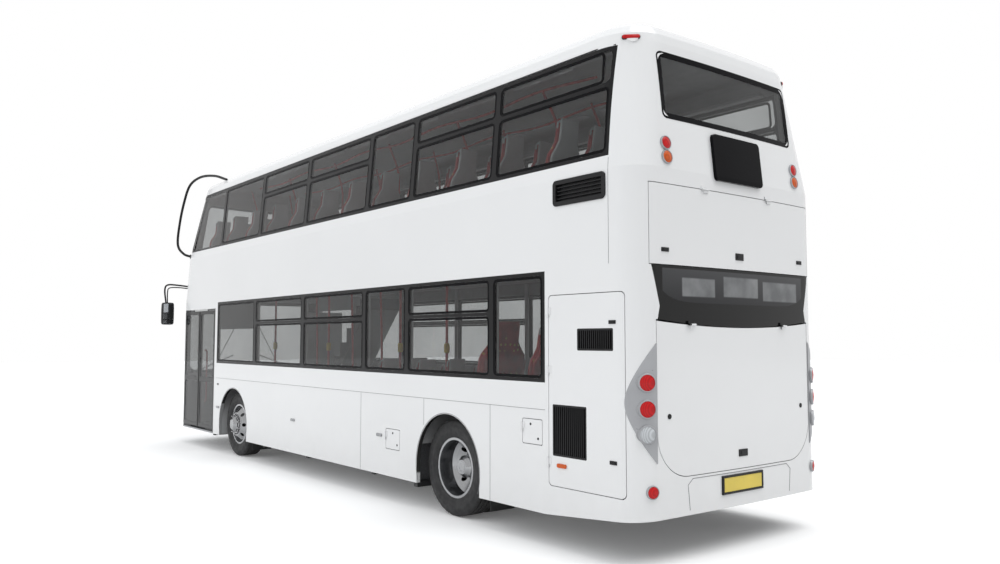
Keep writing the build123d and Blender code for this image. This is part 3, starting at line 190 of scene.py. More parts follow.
# Outward is away from this height, and a little away from the middle of the bus
HEART_Z = 2.3
ALONG_SHARE = 0.3


def lined_paint(name, color, lining, road_dust=0.0, specular=0.5, coat_weight=0.4):
    """Gloss paint, black at the arch edges; faces towards the saloon have a matt lining."""
    s = Shader(name)
    x, y, z = s.axes()
    along = s.math("MULTIPLY", x, ALONG_SHARE)
    up = s.math("SUBTRACT", z, HEART_Z)
    out = s.node("ShaderNodeCombineXYZ", {0: along, 1: y, 2: up}).outputs[0]
    outside = s.span(s.vector("DOT_PRODUCT", out, s.coords["Normal"], 1), -0.02, 0.02)
    coat = s.mix(s.cloud(0.5, 4), *shades(color, 0.02))
    rise = s.math("SUBTRACT", z, TYRE_R)
    arches = []
    for axle in (REAR_AXLE, FRONT_AXLE):
        reach = s.length(s.math("SUBTRACT", x, axle), rise)
        arches.append(s.span(reach, ARCH_EDGE, ARCH_EDGE + 0.004, 1.0, 0.0))
    flat = s.math("ABSOLUTE", s.axes(s.coords["Normal"])[1])
    edge = s.math("MULTIPLY", s.math("MAXIMUM", *arches), s.span(flat, 0.4, 0.6, 1.0, 0.0))
    coat = s.mix(edge, coat, (0.02, 0.02, 0.02))
    if road_dust:
        low = s.span(z, 0.25, 1.1, road_dust, 0.0)
        coat = s.mix(s.math("MULTIPLY", low, s.noise(6, 6)), coat, (0.42, 0.4, 0.37))
    skin = s.surface({
        "Base Color": coat,
        "Roughness": s.cloud(2.5, 4, 0.16, 0.24),
        "Specular IOR Level": specular,
        "Coat Weight": coat_weight,
        "Coat Roughness": 0.04,
        "Normal": s.bump(s.math("MULTIPLY", s.noise(1.3, 2), 0.5), 0.12, 0.004),
    })
    inside = s.surface({
        "Base Color": s.mix(s.cloud(9, 5), *shades(lining, 0.08)),
        "Roughness": 0.6,
        "Normal": s.bump(s.noise(140, 2), 0.25, 0.0008),
    })
    return s.finish(s.node("ShaderNodeMixShader", {0: outside, 1: inside, 2: skin}).outputs[0])


def pane(name, tint):
    """Thin tinted glass: light goes straight through, and its face mirrors at low angles."""
    s = Shader(name)
    body = s.mix(s.cloud(0.7, 3), *shades(tint, 0.04))
    clear = s.node("ShaderNodeBsdfTransparent", {"Color": body}).outputs[0]
    smear = s.span(s.noise(3, 5), 0.4, 0.75, 0.015, 0.06)
    mirror = s.node("ShaderNodeBsdfGlossy", {"Color": (0.8, 0.8, 0.8), "Roughness": smear}).outputs[0]
    edge = s.node("ShaderNodeLayerWeight", {"Blend": 0.5}).outputs["Facing"]
    share = s.math("ADD", s.math("MULTIPLY", s.math("POWER", edge, 4.0), 0.45), 0.03)
    return s.finish(s.node("ShaderNodeMixShader", {0: share, 1: clear, 2: mirror}).outputs[0])


def lens(name, color, painted_glow):
    """Moulded lens: deep colour with fine ribs, and a faint painted glow: the lens emits a little light of
    its own.
    """
    s = Shader(name)
    x, y, _ = s.axes()
    ribs = s.math("SINE", s.math("MULTIPLY", s.length(x, y), 900.0))
    deep, bright = shades(color, 0.3)
    return s.finish(s.surface({
        "Base Color": s.mix(s.span(ribs, -1.0, 1.0, 0.2, 0.8), deep, bright),
        "Roughness": s.cloud(40, 3, 0.08, 0.16),
        "Specular IOR Level": 0.25,
        # Painted glow, in the lighter shade of the colour
        "Emission Color": bright,
        "Emission Strength": painted_glow,
        "Normal": s.bump(s.noise(260, 2), 0.1, 0.0005),
    }))


def moquette(name, ground, spot):
    """Woven pile with small dots set in staggered rows."""
    s = Shader(name)
    place = s.coords["Object"]
    weave = s.node("ShaderNodeTexVoronoi", {"Vector": place, "Scale": 900.0}).outputs[0]
    dots = s.node("ShaderNodeTexVoronoi", {"Vector": place, "Scale": 17.0, "Randomness": 0.25}).outputs[0]
    pile = s.mix(s.cloud(11, 6), *shades(ground, 0.3))
    return s.finish(s.surface({
        "Base Color": s.mix(s.span(dots, 0.2, 0.26, 1.0, 0.0), pile, spot),
        "Roughness": 0.9,
        "Sheen Weight": 0.5,
        "Sheen Roughness": 0.4,
        "Normal": s.bump(weave, 0.4, 0.0012),
    }))


def rubber_wall(name):
    """Tyre rubber: worn grey tread edges and faint rings on the sidewall."""
    s = Shader(name)
    x, _, z = s.axes()
    radius = s.length(x, z)
    rings = s.math("SINE", s.math("MULTIPLY", radius, 420.0))
    dust = s.span(radius, 0.455, 0.479, 0.0, 0.5)
    worn = s.math("MULTIPLY", dust, s.noise(14, 6))
    base = s.mix(s.noise(5, 5), (0.012, 0.012, 0.013), (0.026, 0.026, 0.027))
    grain = s.math("ADD", s.noise(220, 2), s.math("MULTIPLY", rings, 0.35))
    return s.finish(s.surface({
        "Base Color": s.mix(worn, base, (0.075, 0.072, 0.068)),
        "Roughness": s.cloud(20, 4, 0.55, 0.8),
        "Normal": s.bump(grain, 0.3, 0.001),
    }))


def polished(name):
    """Machined alloy with hair lines."""
    s = Shader(name)
    lines = s.noise(3, 4, 0.6, s.vector("MULTIPLY", s.coords["Object"], (2, 160, 2)))
    return s.finish(s.surface({
        "Base Color": s.mix(lines, (0.2, 0.204, 0.21), (0.44, 0.445, 0.455)),
        "Metallic": 1.0,
        "Roughness": s.span(lines, 0.3, 0.7, 0.14, 0.24),
        "Normal": s.bump(lines, 0.08, 0.0006),
    }))


def deck(name, cover, below):
    """Speckled floor cover above, pale lining on the faces that look down."""
    s = Shader(name)
    up = s.axes(s.coords["Normal"])[2]
    specks = s.span(s.noise(160, 2), 0.56, 0.62)
    top = s.mix(specks, cover, tuple(2.2 * channel for channel in cover))
    under = s.mix(s.cloud(4, 5), *shades(below, 0.06))
    return s.finish(s.surface({
        "Base Color": s.mix(s.span(up, -0.5, 0.1), under, top),
        "Roughness": s.cloud(12, 4, 0.5, 0.75),
        "Normal": s.bump(s.noise(300, 2), 0.2, 0.0006),
    }))


# Rear window of the lower deck, painted on the surround in shade and light: sill, head, half width, and rise
# of the sill at its ends
REAR_PANE = (2.062, 2.335, 0.985, 0.10)
EDGE_BLUR = 0.004
# Far windows seen through it, painted as patches of light: middle, half width, foot and head
FAR_WINDOWS = ((-0.62, 0.27, 2.10, 2.27), (-0.02, 0.24, 2.12, 2.29), (0.55, 0.20, 2.11, 2.26))
FAR_BLUR = 0.012


def band_glass(name):
    """Black screen surround; a strip of it at the tail is painted as a dark window, in painted shade that
    lightens towards its head, with painted light of far windows in it.
    """
    s = Shader(name)
    x, y, z = s.axes()
    aside = s.math("ABSOLUTE", y)
    tail = s.span(x, -5.2, -5.1, 1.0, 0.0)
    sill, head, reach, rise = REAR_PANE
    low_edge = s.math("ADD", sill, s.math("MULTIPLY", s.math("POWER", aside, 8.0), rise))
    above = s.math("SUBTRACT", z, low_edge)
    window = s.math("MULTIPLY", s.span(above, 0.0, EDGE_BLUR), s.span(z, head + EDGE_BLUR, head))
    side = s.span(aside, reach, reach + EDGE_BLUR, 1.0, 0.0)
    shown = s.math("MULTIPLY", s.math("MULTIPLY", tail, window), side)
    # Mask of the far windows, where light is painted
    panes = None
    for middle, half, low, high in FAR_WINDOWS:
        off = s.math("ABSOLUTE", s.math("SUBTRACT", y, middle))
        across = s.span(off, half, half + FAR_BLUR, 1.0, 0.0)
        block = s.math("MULTIPLY", across, s.span(z, low, low + FAR_BLUR))
        block = s.math("MULTIPLY", block, s.span(z, high, high + FAR_BLUR, 1.0, 0.0))
        panes = s.math("MAXIMUM", panes, block) if panes else block
    # Painted shade inside the window, darker towards its foot
    window_shade = s.mix(s.span(z, 2.06, 2.33), (0.022, 0.022, 0.024), (0.06, 0.061, 0.064))
    # Painted light of the far windows
    bright = s.mix(s.cloud(5, 3), (0.14, 0.145, 0.15), (0.26, 0.265, 0.27))
    black = s.mix(s.noise(2, 4), (0.006,) * 3, (0.010,) * 3)
    return s.finish(s.surface({
        "Base Color": s.mix(shown, black, s.mix(panes, window_shade, bright)),
        "Roughness": s.cloud(5, 4, 0.05, 0.11),
        "Specular IOR Level": 0.22,
        "Normal": s.bump(s.noise(1.5, 2), 0.05, 0.003),
    }))


def lamp_seat(name):
    """Plate behind a lamp: paint high on the tail, silver lower down."""
    s = Shader(name)
    high = s.mix(s.noise(3, 3), (0.82, 0.825, 0.83), (0.85, 0.855, 0.86))
    low = s.mix(s.noise(7, 4), (0.27, 0.275, 0.285), (0.38, 0.385, 0.395))
    return s.finish(s.surface({
        "Base Color": s.mix(s.span(s.axes()[2], 2.9, 3.0), low, high),
        "Roughness": s.cloud(9, 3, 0.2, 0.34),
        "Normal": s.bump(s.noise(160, 2), 0.1, 0.0005),
    }))


WHITE = (0.83, 0.835, 0.84)
LINING = (0.34, 0.345, 0.35)
looks = {
    "white": lined_paint("white_gloss", WHITE, LINING, 0.14),
    "band": lined_paint("black_gloss", (0.008, 0.008, 0.009), (0.05, 0.05, 0.052), 0.0, 0.18, 0.0),
    "tail_band": band_glass("black_band_glass"),
    "tinted": pane("tinted_glass", (0.735, 0.742, 0.742)),
    "clear": pane("clear_glass", (0.6, 0.605, 0.605)),
    "black": plain("black_moulding", (0.012, 0.012, 0.013), 0.42, specular=0.22),
    "gloss_black": plain("black_display", (0.005, 0.005, 0.006), 0.08, relief=0.03, specular=0.05),
    "silver": plain("silver_moulding", (0.37, 0.375, 0.39), 0.34, 0.3, 0.06, relief=0.06, specular=0.4),
    # The last value is the strength of each lens's painted glow
    "red_lens": lens("red_lens", (0.46, 0.006, 0.008), 0.1),
    "amber_lens": lens("amber_lens", (0.56, 0.09, 0.012), 0.06),
    "clear_lens": lens("clear_lens", (0.52, 0.54, 0.56), 0.02),
    "tyre": rubber_wall("tyre_rubber"),
    "alloy": polished("polished_alloy"),
    "chrome": plain("bright_nut", (0.5, 0.5, 0.51), 0.2, 1.0, 0.12, relief=0.05),
    "steel": plain("chassis_black", (0.03, 0.03, 0.032), 0.5, 0.2),
    "cast": plain("cast_iron", (0.07, 0.07, 0.072), 0.65, 0.3, grain=90, relief=0.4),
    "rubber": plain("soft_rubber", (0.018, 0.018, 0.018), 0.7, grain=240),
    "floor": deck("floor_cover", (0.07, 0.072, 0.078), (0.42, 0.425, 0.43)),
    "grey": plain("saloon_grey", (0.42, 0.425, 0.43), 0.5),
    "shell": plain("seat_shell_grey", (0.46, 0.462, 0.468), 0.45, specular=0.4),
    "cloth": moquette("red_moquette", (0.42, 0.03, 0.036), (0.6, 0.36, 0.08)),
    "rail": plain("red_rail", (0.56, 0.03, 0.03), 0.28, relief=0.05),
    "yellow": plain("yellow_bell", (0.75, 0.5, 0.03), 0.35, relief=0.08),
    "plate": plain("blank_plate", (0.72, 0.56, 0.09), 0.4, grain=260),
    "seam": plain("panel_joint", (0.2, 0.2, 0.21), 0.6),
    "mirror": plain("mirror_face", (0.42, 0.44, 0.46), 0.03, 1.0, 0.03, relief=0.01),
    "lamp_seat": lamp_seat("lamp_seat"),
}
node_looks = {
    "white": (
        "skirt_left skirt_right deck_panels rear_quarters rear_bumper rear_dome roof front_panels "
        "front_upper_panel rear_mid_hatch engine_hatch engine_door emergency_door service_flap_rear "
        "service_flap_front"
    ),
    "band": "window_frames door_leaf_rear door_leaf_front",
    "tail_band": "screen_surrounds",
    "tinted": "window_glass emergency_door_glass end_screens",
    "clear": "door_glass_rear door_glass_front",
    "black": "intake_grille engine_door_grilles mirrors tree_guard steering_wheel",
    "gloss_black": "display_boxes",
    "silver": "light_clusters",
    "lamp_seat": "lamps_red lamps_amber lamps_clear",
    "amber_lens": "engine_door_marker",
    "alloy": "rim_front_left rim_front_right rims_rear_left rims_rear_right",
    "steel": "chassis_frame door_arms_rear door_arms_front",
    "cast": "axles engine knuckle_left knuckle_right",
    "rubber": "air_springs",
    "floor": "floor_lower floor_upper staircase",
    "grey": "wheel_housings cab_furniture",
    "rail": "handrails",
}
for look, names in node_looks.items():
    for name in names.split():
        nodes[name].data.materials.clear()
        nodes[name].data.materials.append(looks[look])


# Pieces
SEAM_DEPTH = 0.006


class Piece:
    """A mesh gathered from simple forms, which becomes one object on one body."""

    def __init__(self):
        self.points = []
        self.faces = []

    def put(self, points, faces):
        start = len(self.points)
        self.points += [Vector(point) for point in points]
        self.faces += [[start + index for index in face] for face in faces]

    def box(self, x, y, z, bevel=0.003, place=None):
        """Box between limits, with every edge bevelled."""
        middle = [sum(pair) / 2 for pair in (x, y, z)]
        half = [(pair[1] - pair[0]) / 2 for pair in (x, y, z)]
        cut = min(bevel, 0.45 * min(half))
        points = []
        for corner in range(8):
            signs = [1 if corner >> axis & 1 else -1 for axis in range(3)]
            for flush in range(3):
                point = Vector([
                    middle[axis] + signs[axis] * (half[axis] - (0 if axis == flush else cut))
                    for axis in range(3)
                ])
                points.append(place @ point if place else point)
        faces = [[3 * corner + axis for axis in range(3)] for corner in range(8)]
        for axis in range(3):
            first, second = [other for other in range(3) if other != axis]
            for base in range(8):
                if base >> axis & 1:
                    continue
                other = base | 1 << axis
                faces.append([3 * base + first, 3 * other + first, 3 * other + second, 3 * base + second])
            for sign in (0, 1):
                ring = [(0, 0), (1, 0), (1, 1), (0, 1)]
                corners = [sign << axis | a << first | b << second for a, b in ring]
                faces.append([3 * corner + axis for corner in corners])
        self.put(points, faces)

    def turned(self, profile, place, steps=32, closed=False, notch=None):
        """Solid of revolution about local Z from (radius, height) points."""
        points = []
        count = len(profile)
        for step in range(steps):
            angle = 2 * pi * step / steps
            for radius, height in profile:
                if notch:
                    radius, height = notch(step, radius, height)
                points.append(place @ Vector((radius * cos(angle), radius * sin(angle), height)))
        faces = []
        for step in range(steps):
            here, there = step * count, (step + 1) % steps * count
            for index in range(count if closed else count - 1):
                after = (index + 1) % count
                faces.append([here + index, there + index, there + after, here + after])
        self.put(points, faces)

    def tube(self, points, radius, sides=8):
        """Round bar along a run of points, closed at both ends."""
        run = [Vector(point) for point in points]
        rings = []
        side = None
        for index, point in enumerate(run):
            ahead = run[min(index + 1, len(run) - 1)] - run[max(index - 1, 0)]
            ahead.normalize()
            if side is None:
                side = ahead.orthogonal().normalized()
            side = (side - ahead * side.dot(ahead)).normalized()
            lift = ahead.cross(side)
            rings.append([
                point + radius * (cos(2 * pi * k / sides) * side + sin(2 * pi * k / sides) * lift)
                for k in range(sides)
            ])
        flat = [point for ring in rings for point in ring]
        faces = [list(range(sides)), [len(flat) - sides + k for k in range(sides)]]
        for index in range(len(rings) - 1):
            for k in range(sides):
                a, b = index * sides + k, index * sides + (k + 1) % sides
                faces.append([a, b, b + sides, a + sides])
        self.put(flat, faces)

    def form(self, spine, halves, front, back, y, columns=10, power=4.0, seams=(), crown=0.0):
        """Closed upholstery form: a spine of (x, z) rows, half widths, and two faces off it."""
        rows = len(spine)
        points = []
        for sign, depth in ((1, front), (-1, back)):
            for row, (x, z) in enumerate(spine):
                before, after = spine[max(row - 1, 0)], spine[min(row + 1, rows - 1)]
                run = Vector((after[0] - before[0], 0, after[1] - before[1])).normalized()
                out = Vector((run.z, 0, -run.x))
                t = 2 * row / (rows - 1) - 1
                for column in range(columns + 1):
                    s = sin(pi / 2 * (2 * column / columns - 1))
                    edge = (1 - abs(s) ** power) ** (1 / power) * (1 - abs(t) ** (2 * power)) ** 0.5
                    swell = crown * (1 - s * s) * (1 - t * t) if sign > 0 else 0
                    groove = 0
                    if sign > 0:
                        groove = sum(SEAM_DEPTH * max(0, 1 - abs(t - seam) * 7) for seam in seams)
                    height = (depth + swell - groove) * (0.25 + 0.75 * edge)
                    points.append(Vector((x, y + s * halves[row], z)) + sign * height * out)
        width = columns + 1
        size = rows * width
        faces = []
        for row in range(rows - 1):
            for column in range(columns):
                a = row * width + column
                faces.append([a, a + 1, a + 1 + width, a + width])
                faces.append([size + a, size + a + width, size + a + 1 + width, size + a + 1])
        rim = list(range(width))
        rim += [row * width + columns for row in range(1, rows)]
        rim += [(rows - 1) * width + column for column in range(columns - 1, -1, -1)]
        rim += [row * width for row in range(rows - 2, 0, -1)]
        for index, a in enumerate(rim):
            b = rim[(index + 1) % len(rim)]
            faces.append([a, b, size + b, size + a])
        self.put(points, faces)

    def done(self, name, look, body="body", slot="black_plastic", centre=None, angle=35):
        """The object, shaded smooth below an angle, riding on its body."""
        mesh = bpy.data.meshes.new(name)
        centre = Vector(centre or (0, 0, 0))
        mesh.from_pydata([point - centre for point in self.points], [], self.faces)
        built = bmesh.new()
        built.from_mesh(mesh)
        bmesh.ops.remove_doubles(built, verts=built.verts, dist=1e-6)
        bmesh.ops.dissolve_degenerate(built, edges=built.edges, dist=1e-7)
        bmesh.ops.recalc_face_normals(built, faces=built.faces)
        built.to_mesh(mesh)
        built.free()
        mesh.shade_smooth()
        mesh.set_sharp_from_angle(angle=radians(angle))
        mesh.materials.append(looks[look])
        made = bpy.data.objects.new(name, mesh)
        made.location = centre
        bpy.context.scene.collection.objects.link(made)
        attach(made, body)
        return made


def curve(points, steps=6):
    """Smooth run through a few points."""
    run = [Vector(point) for point in points]
    padded = [2 * run[0] - run[1], *run, 2 * run[-1] - run[-2]]
    found = []
    for a, b, c, d in zip(padded, padded[1:], padded[2:], padded[3:]):
        for step in range(steps):
            t = step / steps
            found.append(0.5 * (
                2 * b + (c - a) * t + (2 * a - 5 * b + 4 * c - d) * t * t + (3 * b - a - 3 * c + d) * t ** 3
            ))
    return found + [run[-1]]


# The outer skin, to seat small fittings on
skin_nodes = [
    name for key in ("white", "band", "tail_band", "tinted", "silver", "gloss_black", "black", "clear")
    for name in node_looks[key].split() if name not in ("mirrors", "tree_guard", "steering_wheel")
]
skin_points, skin_faces = [], []
for name in skin_nodes:
    mesh = nodes[name].data
    start = len(skin_points)
    skin_points += [vertex.co.copy() for vertex in mesh.vertices]
    skin_faces += [[start + index for index in polygon.vertices] for polygon in mesh.polygons]
skin = BVHTree.FromPolygons(skin_points, skin_faces)


def on_skin(start, inward):
    """Point and outward normal where a ray first meets the skin."""
    point, normal, _, _ = skin.ray_cast(Vector(start), Vector(inward))
    return point, normal if normal.dot(Vector(inward)) < 0 else -normal


def on_tail(y, z):
    return on_skin((-8, y, z), (1, 0, 0))


def on_nose(y, z):
    return on_skin((8, y, z), (-1, 0, 0))


def on_side(x, z, side=1):
    return on_skin((x, side * 3, z), (0, -side, 0))


def side_seat(side):
    """Seat on one side, given a place along the bus and a height."""
    return lambda x, z: on_side(x, z, side)


def stand(point, normal):
    """Placement with local Z out of the skin and local Y up."""
    out = normal.normalized()
    up = Vector((0, 0, 1))
    lift = (up - out * up.dot(out)).normalized()
    across = lift.cross(out)
    turn = Matrix((across, lift, out)).transposed().to_4x4()
    return Matrix.Translation(point) @ turn


def beads(piece, run, seat, radius, pitch=0.05):
    """Half sunk bead along a run of places on the skin."""
    points = []
    for (a, b), (c, d) in zip(run, run[1:]):
        count = max(1, int(max(abs(c - a), abs(d - b)) / pitch))
        points += [(a + (c - a) * k / count, b + (d - b) * k / count) for k in range(count)]
    points.append(run[-1])
    piece.tube([seat(*point)[0] for point in points], radius, 6)


# Tyres: grooved tread, shoulder notches, beaded sidewalls
TREAD = 0.478
GROOVE = 0.011
side_wall = [
    (0.2885, 0.100), (0.296, 0.1045), (0.303, 0.111), (0.309, 0.1135), (0.312, 0.119), (0.330, 0.126),
    (0.352, 0.1315), (0.3545, 0.1335), (0.372, 0.1362), (0.395, 0.1375), (0.418, 0.1368), (0.4205, 0.1350),
    (0.440, 0.1322), (0.455, 0.1275), (0.466, 0.1225), (0.4735, 0.1150), (0.4765, 0.1050),
]
tread_half = [
    (TREAD - 0.0012, 0.086), (TREAD - GROOVE, 0.0825), (TREAD - GROOVE, 0.0755), (TREAD - 0.0006, 0.072),
    (TREAD, 0.034), (TREAD - GROOVE, 0.0305), (TREAD - GROOVE, 0.0235), (TREAD, 0.020),
]
tyre_half = side_wall + tread_half
tyre_profile = tyre_half + [(radius, -across) for radius, across in reversed(tyre_half)]
TYRE_STEPS = 160


def tread_notch(step, radius, across):
    """Zigzag grooves and notched shoulders."""
    if radius > 0.4660 and abs(across) < 0.09:
        across += 0.0022 * (1 if step % 4 < 2 else -1)
    if step % 5 == 0 and 0.1 < abs(across) < 0.125:
        radius -= 0.006
    return radius, across


def wheel_place(x, y, side):
    """Placement with local Z along the axle, outward on this side."""
    turn = Matrix(((1, 0, 0), (0, 0, side), (0, -side, 0))).to_4x4()
    return Matrix.Translation((x, y, TYRE_R)) @ turn


FACE_Y = {"front": 1.2090, "rear": 0.9110}
CAP_Y = {"front": 1.283, "rear": 1.087}
NUTS = 10
NUT_R = 0.0165
NUT_CIRCLE = 0.141
nut_profile = [(0, 0.046), (0.008, 0.045), (0.0115, 0.040), (0.0125, 0.024), (NUT_R, 0.022), (NUT_R, 0.002)]
washer_profile = [(0.021, 0), (0.021, 0.003), (NUT_R, 0.0045)]
bore_profile = [(0.108, 0.0), (0.116, 0.004), (0.118, 0.010), (0.1125, 0.014)]
flange_profile = [(0.163, 0.0), (0.166, 0.004), (0.171, 0.004), (0.174, 0.0)]
cap_profile = [(0.060, -0.004), (0.058, 0.001), (0.040, 0.0015), (0.038, -0.001), (0, -0.001)]
for name, side in (("left", 1), ("right", -1)):
    for axle, many, x, offsets in (
        ("front", "", FRONT_AXLE, (WHEEL_Y,)), ("rear", "s", REAR_AXLE, (WHEEL_Y, TWIN_Y)),
    ):
        body = f"wheel{many}_{axle}_{name}"
        rubber = Piece()
        for offset in offsets:
            rubber.turned(tyre_profile, wheel_place(x, side * offset, side), TYRE_STEPS, True, tread_notch)
        tyre = rubber.done(f"tread_{axle}_{name}", "tyre", body, "tyre", (x, side * WHEEL_Y, TYRE_R), 40)
        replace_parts(tyre, f"tyre{many}_{axle}_{name}")
        face_y = side * FACE_Y[axle]
        bolts = Piece()
        for k in range(NUTS):
            angle = 2 * pi * (k + 0.5) / NUTS
            spot = Vector((x + NUT_CIRCLE * cos(angle), face_y, TYRE_R + NUT_CIRCLE * sin(angle)))
            place = stand(spot, Vector((0, side, 0)))
            bolts.turned(nut_profile, place, 6)
            bolts.turned(washer_profile, place, 16)
        ring = wheel_place(x, face_y, side)
        bolts.turned(bore_profile, ring, 48)
        bolts.turned(flange_profile, ring, 64)
        bolts.done(f"nuts_{axle}_{name}", "chrome", body, "alloy", (x, face_y, TYRE_R))
        cap_y = side * CAP_Y[axle]
        cap = Piece()
        cap.turned(cap_profile, wheel_place(x, cap_y, side), 40)
        cap.done(f"hub_cap_{axle}_{name}", "alloy", body, "alloy", (x, cap_y, TYRE_R))

# Seats: rows of the upper saloon, then of the lower one
SEAT_UP = 1.11
UPPER_Y = (0.310, 1.150)
LOWER_Y = (0.360, 1.170)
FIRST_ROW = at(1.215)
PITCH = 0.777
WELL_ROWS = (8, 9, 10)
BACK_FOOT = 0.36
BACK_HEAD = 1.105
BACK_LEAN = 0.118
BACK_SPAN = 0.7
SHELL_X = 0.036
PAD_X = 0.074
SHOULDER = 0.66
SHOULDER_SPAN = 0.17
HEAD_CUT = 0.42
LEG_X = (0.07, 0.28)
benches = {"upper": [], "lower": []}
for row in range(12):
    x = FIRST_ROW + row * PITCH
    benches["upper"].append((x, UPPER_FLOOR, UPPER_FLOOR, UPPER_Y, False))
    if row not in WELL_ROWS:
        benches["upper"].append((x, UPPER_FLOOR, UPPER_FLOOR, (-UPPER_Y[1], -UPPER_Y[0]), False))
for station, base, foot, ways in (
    (1.440, 0.790, 0.700, (1,)), (2.200, 0.840, 1.060, (1, -1)), (3.480, 0.440, 0.300, (1, -1)),
    (4.260, 0.440, 0.300, (1, -1)), (5.040, 0.300, 0.300, (1, -1)), (5.820, 0.300, 0.300, (1, -1)),
    (6.600, 0.300, 0.300, (1,)),
):
    inner = 0.571 if foot > base else LOWER_Y[0]
    for way in ways:
        limits = side_limits(way, inner, LOWER_Y[1])
        benches["lower"].append((at(station), base, foot, limits, station < 3))
benches["lower"].append((at(9.720), 0.430, 0.300, (-0.980, -0.520), False))


def back_rows(x, base, low, high, lean, count=12):
    """Rows of a seat back, leaning to the rear."""
    rows = []
    for row in range(count):
        share = row / (count - 1)
        rise = low + (high - low) * share
        rows.append((x + lean - BACK_LEAN * (rise - BACK_FOOT) / BACK_SPAN, base + rise))
    return rows


def shoulders(rows, base, widest):
    """Half widths of a back: wide, then drawn in to a rounded head."""
    found = []
    for _, z in rows:
        rise = (z - base) / SEAT_UP
        narrow = min(1.0, max(0.0, (rise - SHOULDER) / SHOULDER_SPAN))
        smooth = narrow * narrow * (3 - 2 * narrow)
        found.append(widest * (1 - HEAD_CUT * smooth))
    return found


for deck_name, rows in benches.items():
    shells, cloth_backs = Piece(), Piece()
    for number, (x, base, foot, limits, covered) in enumerate(rows):
        width = limits[1] - limits[0]
        places = 2 if width > 0.7 else 1
        pads = Piece()
        for place in range(places):
            y = limits[0] + width * (place + 0.5) / places
            half = 0.48 * width / places
            shell_rows = back_rows(x, base, BACK_FOOT, BACK_HEAD, SHELL_X)
            rear = cloth_backs if covered else shells
            rear.form(shell_rows, shoulders(shell_rows, base, 0.94 * half), 0.012, 0.020, y, power=5)
            pad_rows = back_rows(x, base, 0.43, 1.075, PAD_X)
            pads.form(pad_rows, shoulders(pad_rows, base, half), 0.030, 0.020, y,
                      seams=(-0.25, 0.35), crown=0.010)
            cushion = [(x + 0.085 + 0.38 * k / 9, base + 0.398 + 0.012 * k / 9) for k in range(9, -1, -1)]
            pads.form(cushion, [0.94 * half] * 10, 0.030, 0.022, y, seams=(0.3,), crown=0.008)
            tub = [(x + 0.46 - 0.40 * k / 7, base + 0.360) for k in range(8)]
            shells.form(tub, [half] * 8, 0.014, 0.020, y, power=6)
            grab = [(x - 0.045, y - 0.6 * half, base + 1.02), (x - 0.06, y - 0.5 * half, base + 1.085),
                    (x - 0.062, y + 0.5 * half, base + 1.085), (x - 0.045, y + 0.6 * half, base + 1.02)]
            shells.tube(curve(grab, 4), 0.009, 6)
        centre = sum(limits) / 2
        leg_x = [x + reach for reach in LEG_X]
        leg_z = (foot, base + 0.35)
        if foot < base:
            shells.box(leg_x, limits, (foot, base), 0.012)
        if foot <= base:
            shells.box((x + 0.12, x + 0.22), (centre - 0.05, centre + 0.05), leg_z, 0.012)
        else:
            shells.box(leg_x, (limits[0] + 0.03, limits[1] - 0.03), leg_z, 0.012)
        made = pads.done(f"moquette_{deck_name}_{number:02d}", "cloth", "body", "seat_cloth",
                         (x + 0.1, centre, base + 0.6), 60)
    if cloth_backs.points:
        made = cloth_backs.done("moquette_backs_lower", "cloth", "body", "seat_cloth", angle=60)
    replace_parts(shells.done(f"seat_shells_{deck_name}", "shell", "body", "interior_grey", angle=50),
                f"seats_{deck_name}")

# Poles, rails and bell boxes of both saloons
POLE_R = 0.016
POLE_Y = 0.33
RAIL_Y = 0.36
RAIL_Z = 2.545
rails = Piece()
for row in (1, 3, 5, 7, 9, 11):
    x = FIRST_ROW + row * PITCH
    for side in (1, -1):
        if side < 0 and row in WELL_ROWS:
            continue
        rails.tube(curve([(x - 0.05, side * POLE_Y, UPPER_FLOOR + 1.02), (x - 0.02, side * POLE_Y, 4.0),
                          (x + 0.16, side * RAIL_Y, CEILING - 0.01)]), POLE_R)
for side in (1, -1):
    ceiling_run = [(at(1.3) + 0.9 * k, side * 0.42, CEILING - 0.075 + 0.05 * (k % 2)) for k in range(10)]
    rails.tube(curve(ceiling_run, 5), 0.015)
    rails.tube([(at(3.7), side * RAIL_Y, RAIL_Z), (at(8.7), side * RAIL_Y, RAIL_Z)], 0.015)
    for k in range(6):
        x = at(3.9) + 0.95 * k
        rails.tube([(x, side * RAIL_Y, RAIL_Z), (x, side * RAIL_Y, LANDING)], 0.009, 6)
for station in (2.05, 3.02, 5.45, 6.25, 7.35):
    x = at(station)
    foot = 0.72 if station < 3.25 else LOW_FLOOR
    rails.tube(curve([(x, POLE_Y, foot), (x, POLE_Y, 1.6), (x + 0.06, POLE_Y, LANDING)]), POLE_R)
entrance_rail = ((9.3, LOW_FLOOR), (9.3, 1.2), (9.5, 1.28), (10.1, 1.28), (10.3, 1.1), (10.3, LOW_FLOOR))
rails.tube(curve([(at(station), 0.1, z) for station, z in entrance_rail]), 0.017)
rails.done("saloon_rails", "rail", "body", "rail_red", angle=60)
bells = Piece()
for station in (8.9, 7.0, 5.0, 3.95):
    x = at(station)
    bells.box((x - 0.03, x + 0.03), (0.292, 0.348), (1.60, 1.72), 0.012)
    bells.box((x - 0.042, x - 0.028), (0.303, 0.337), (1.635, 1.675), 0.006)
bells.done("bell_boxes", "yellow", slot=None)

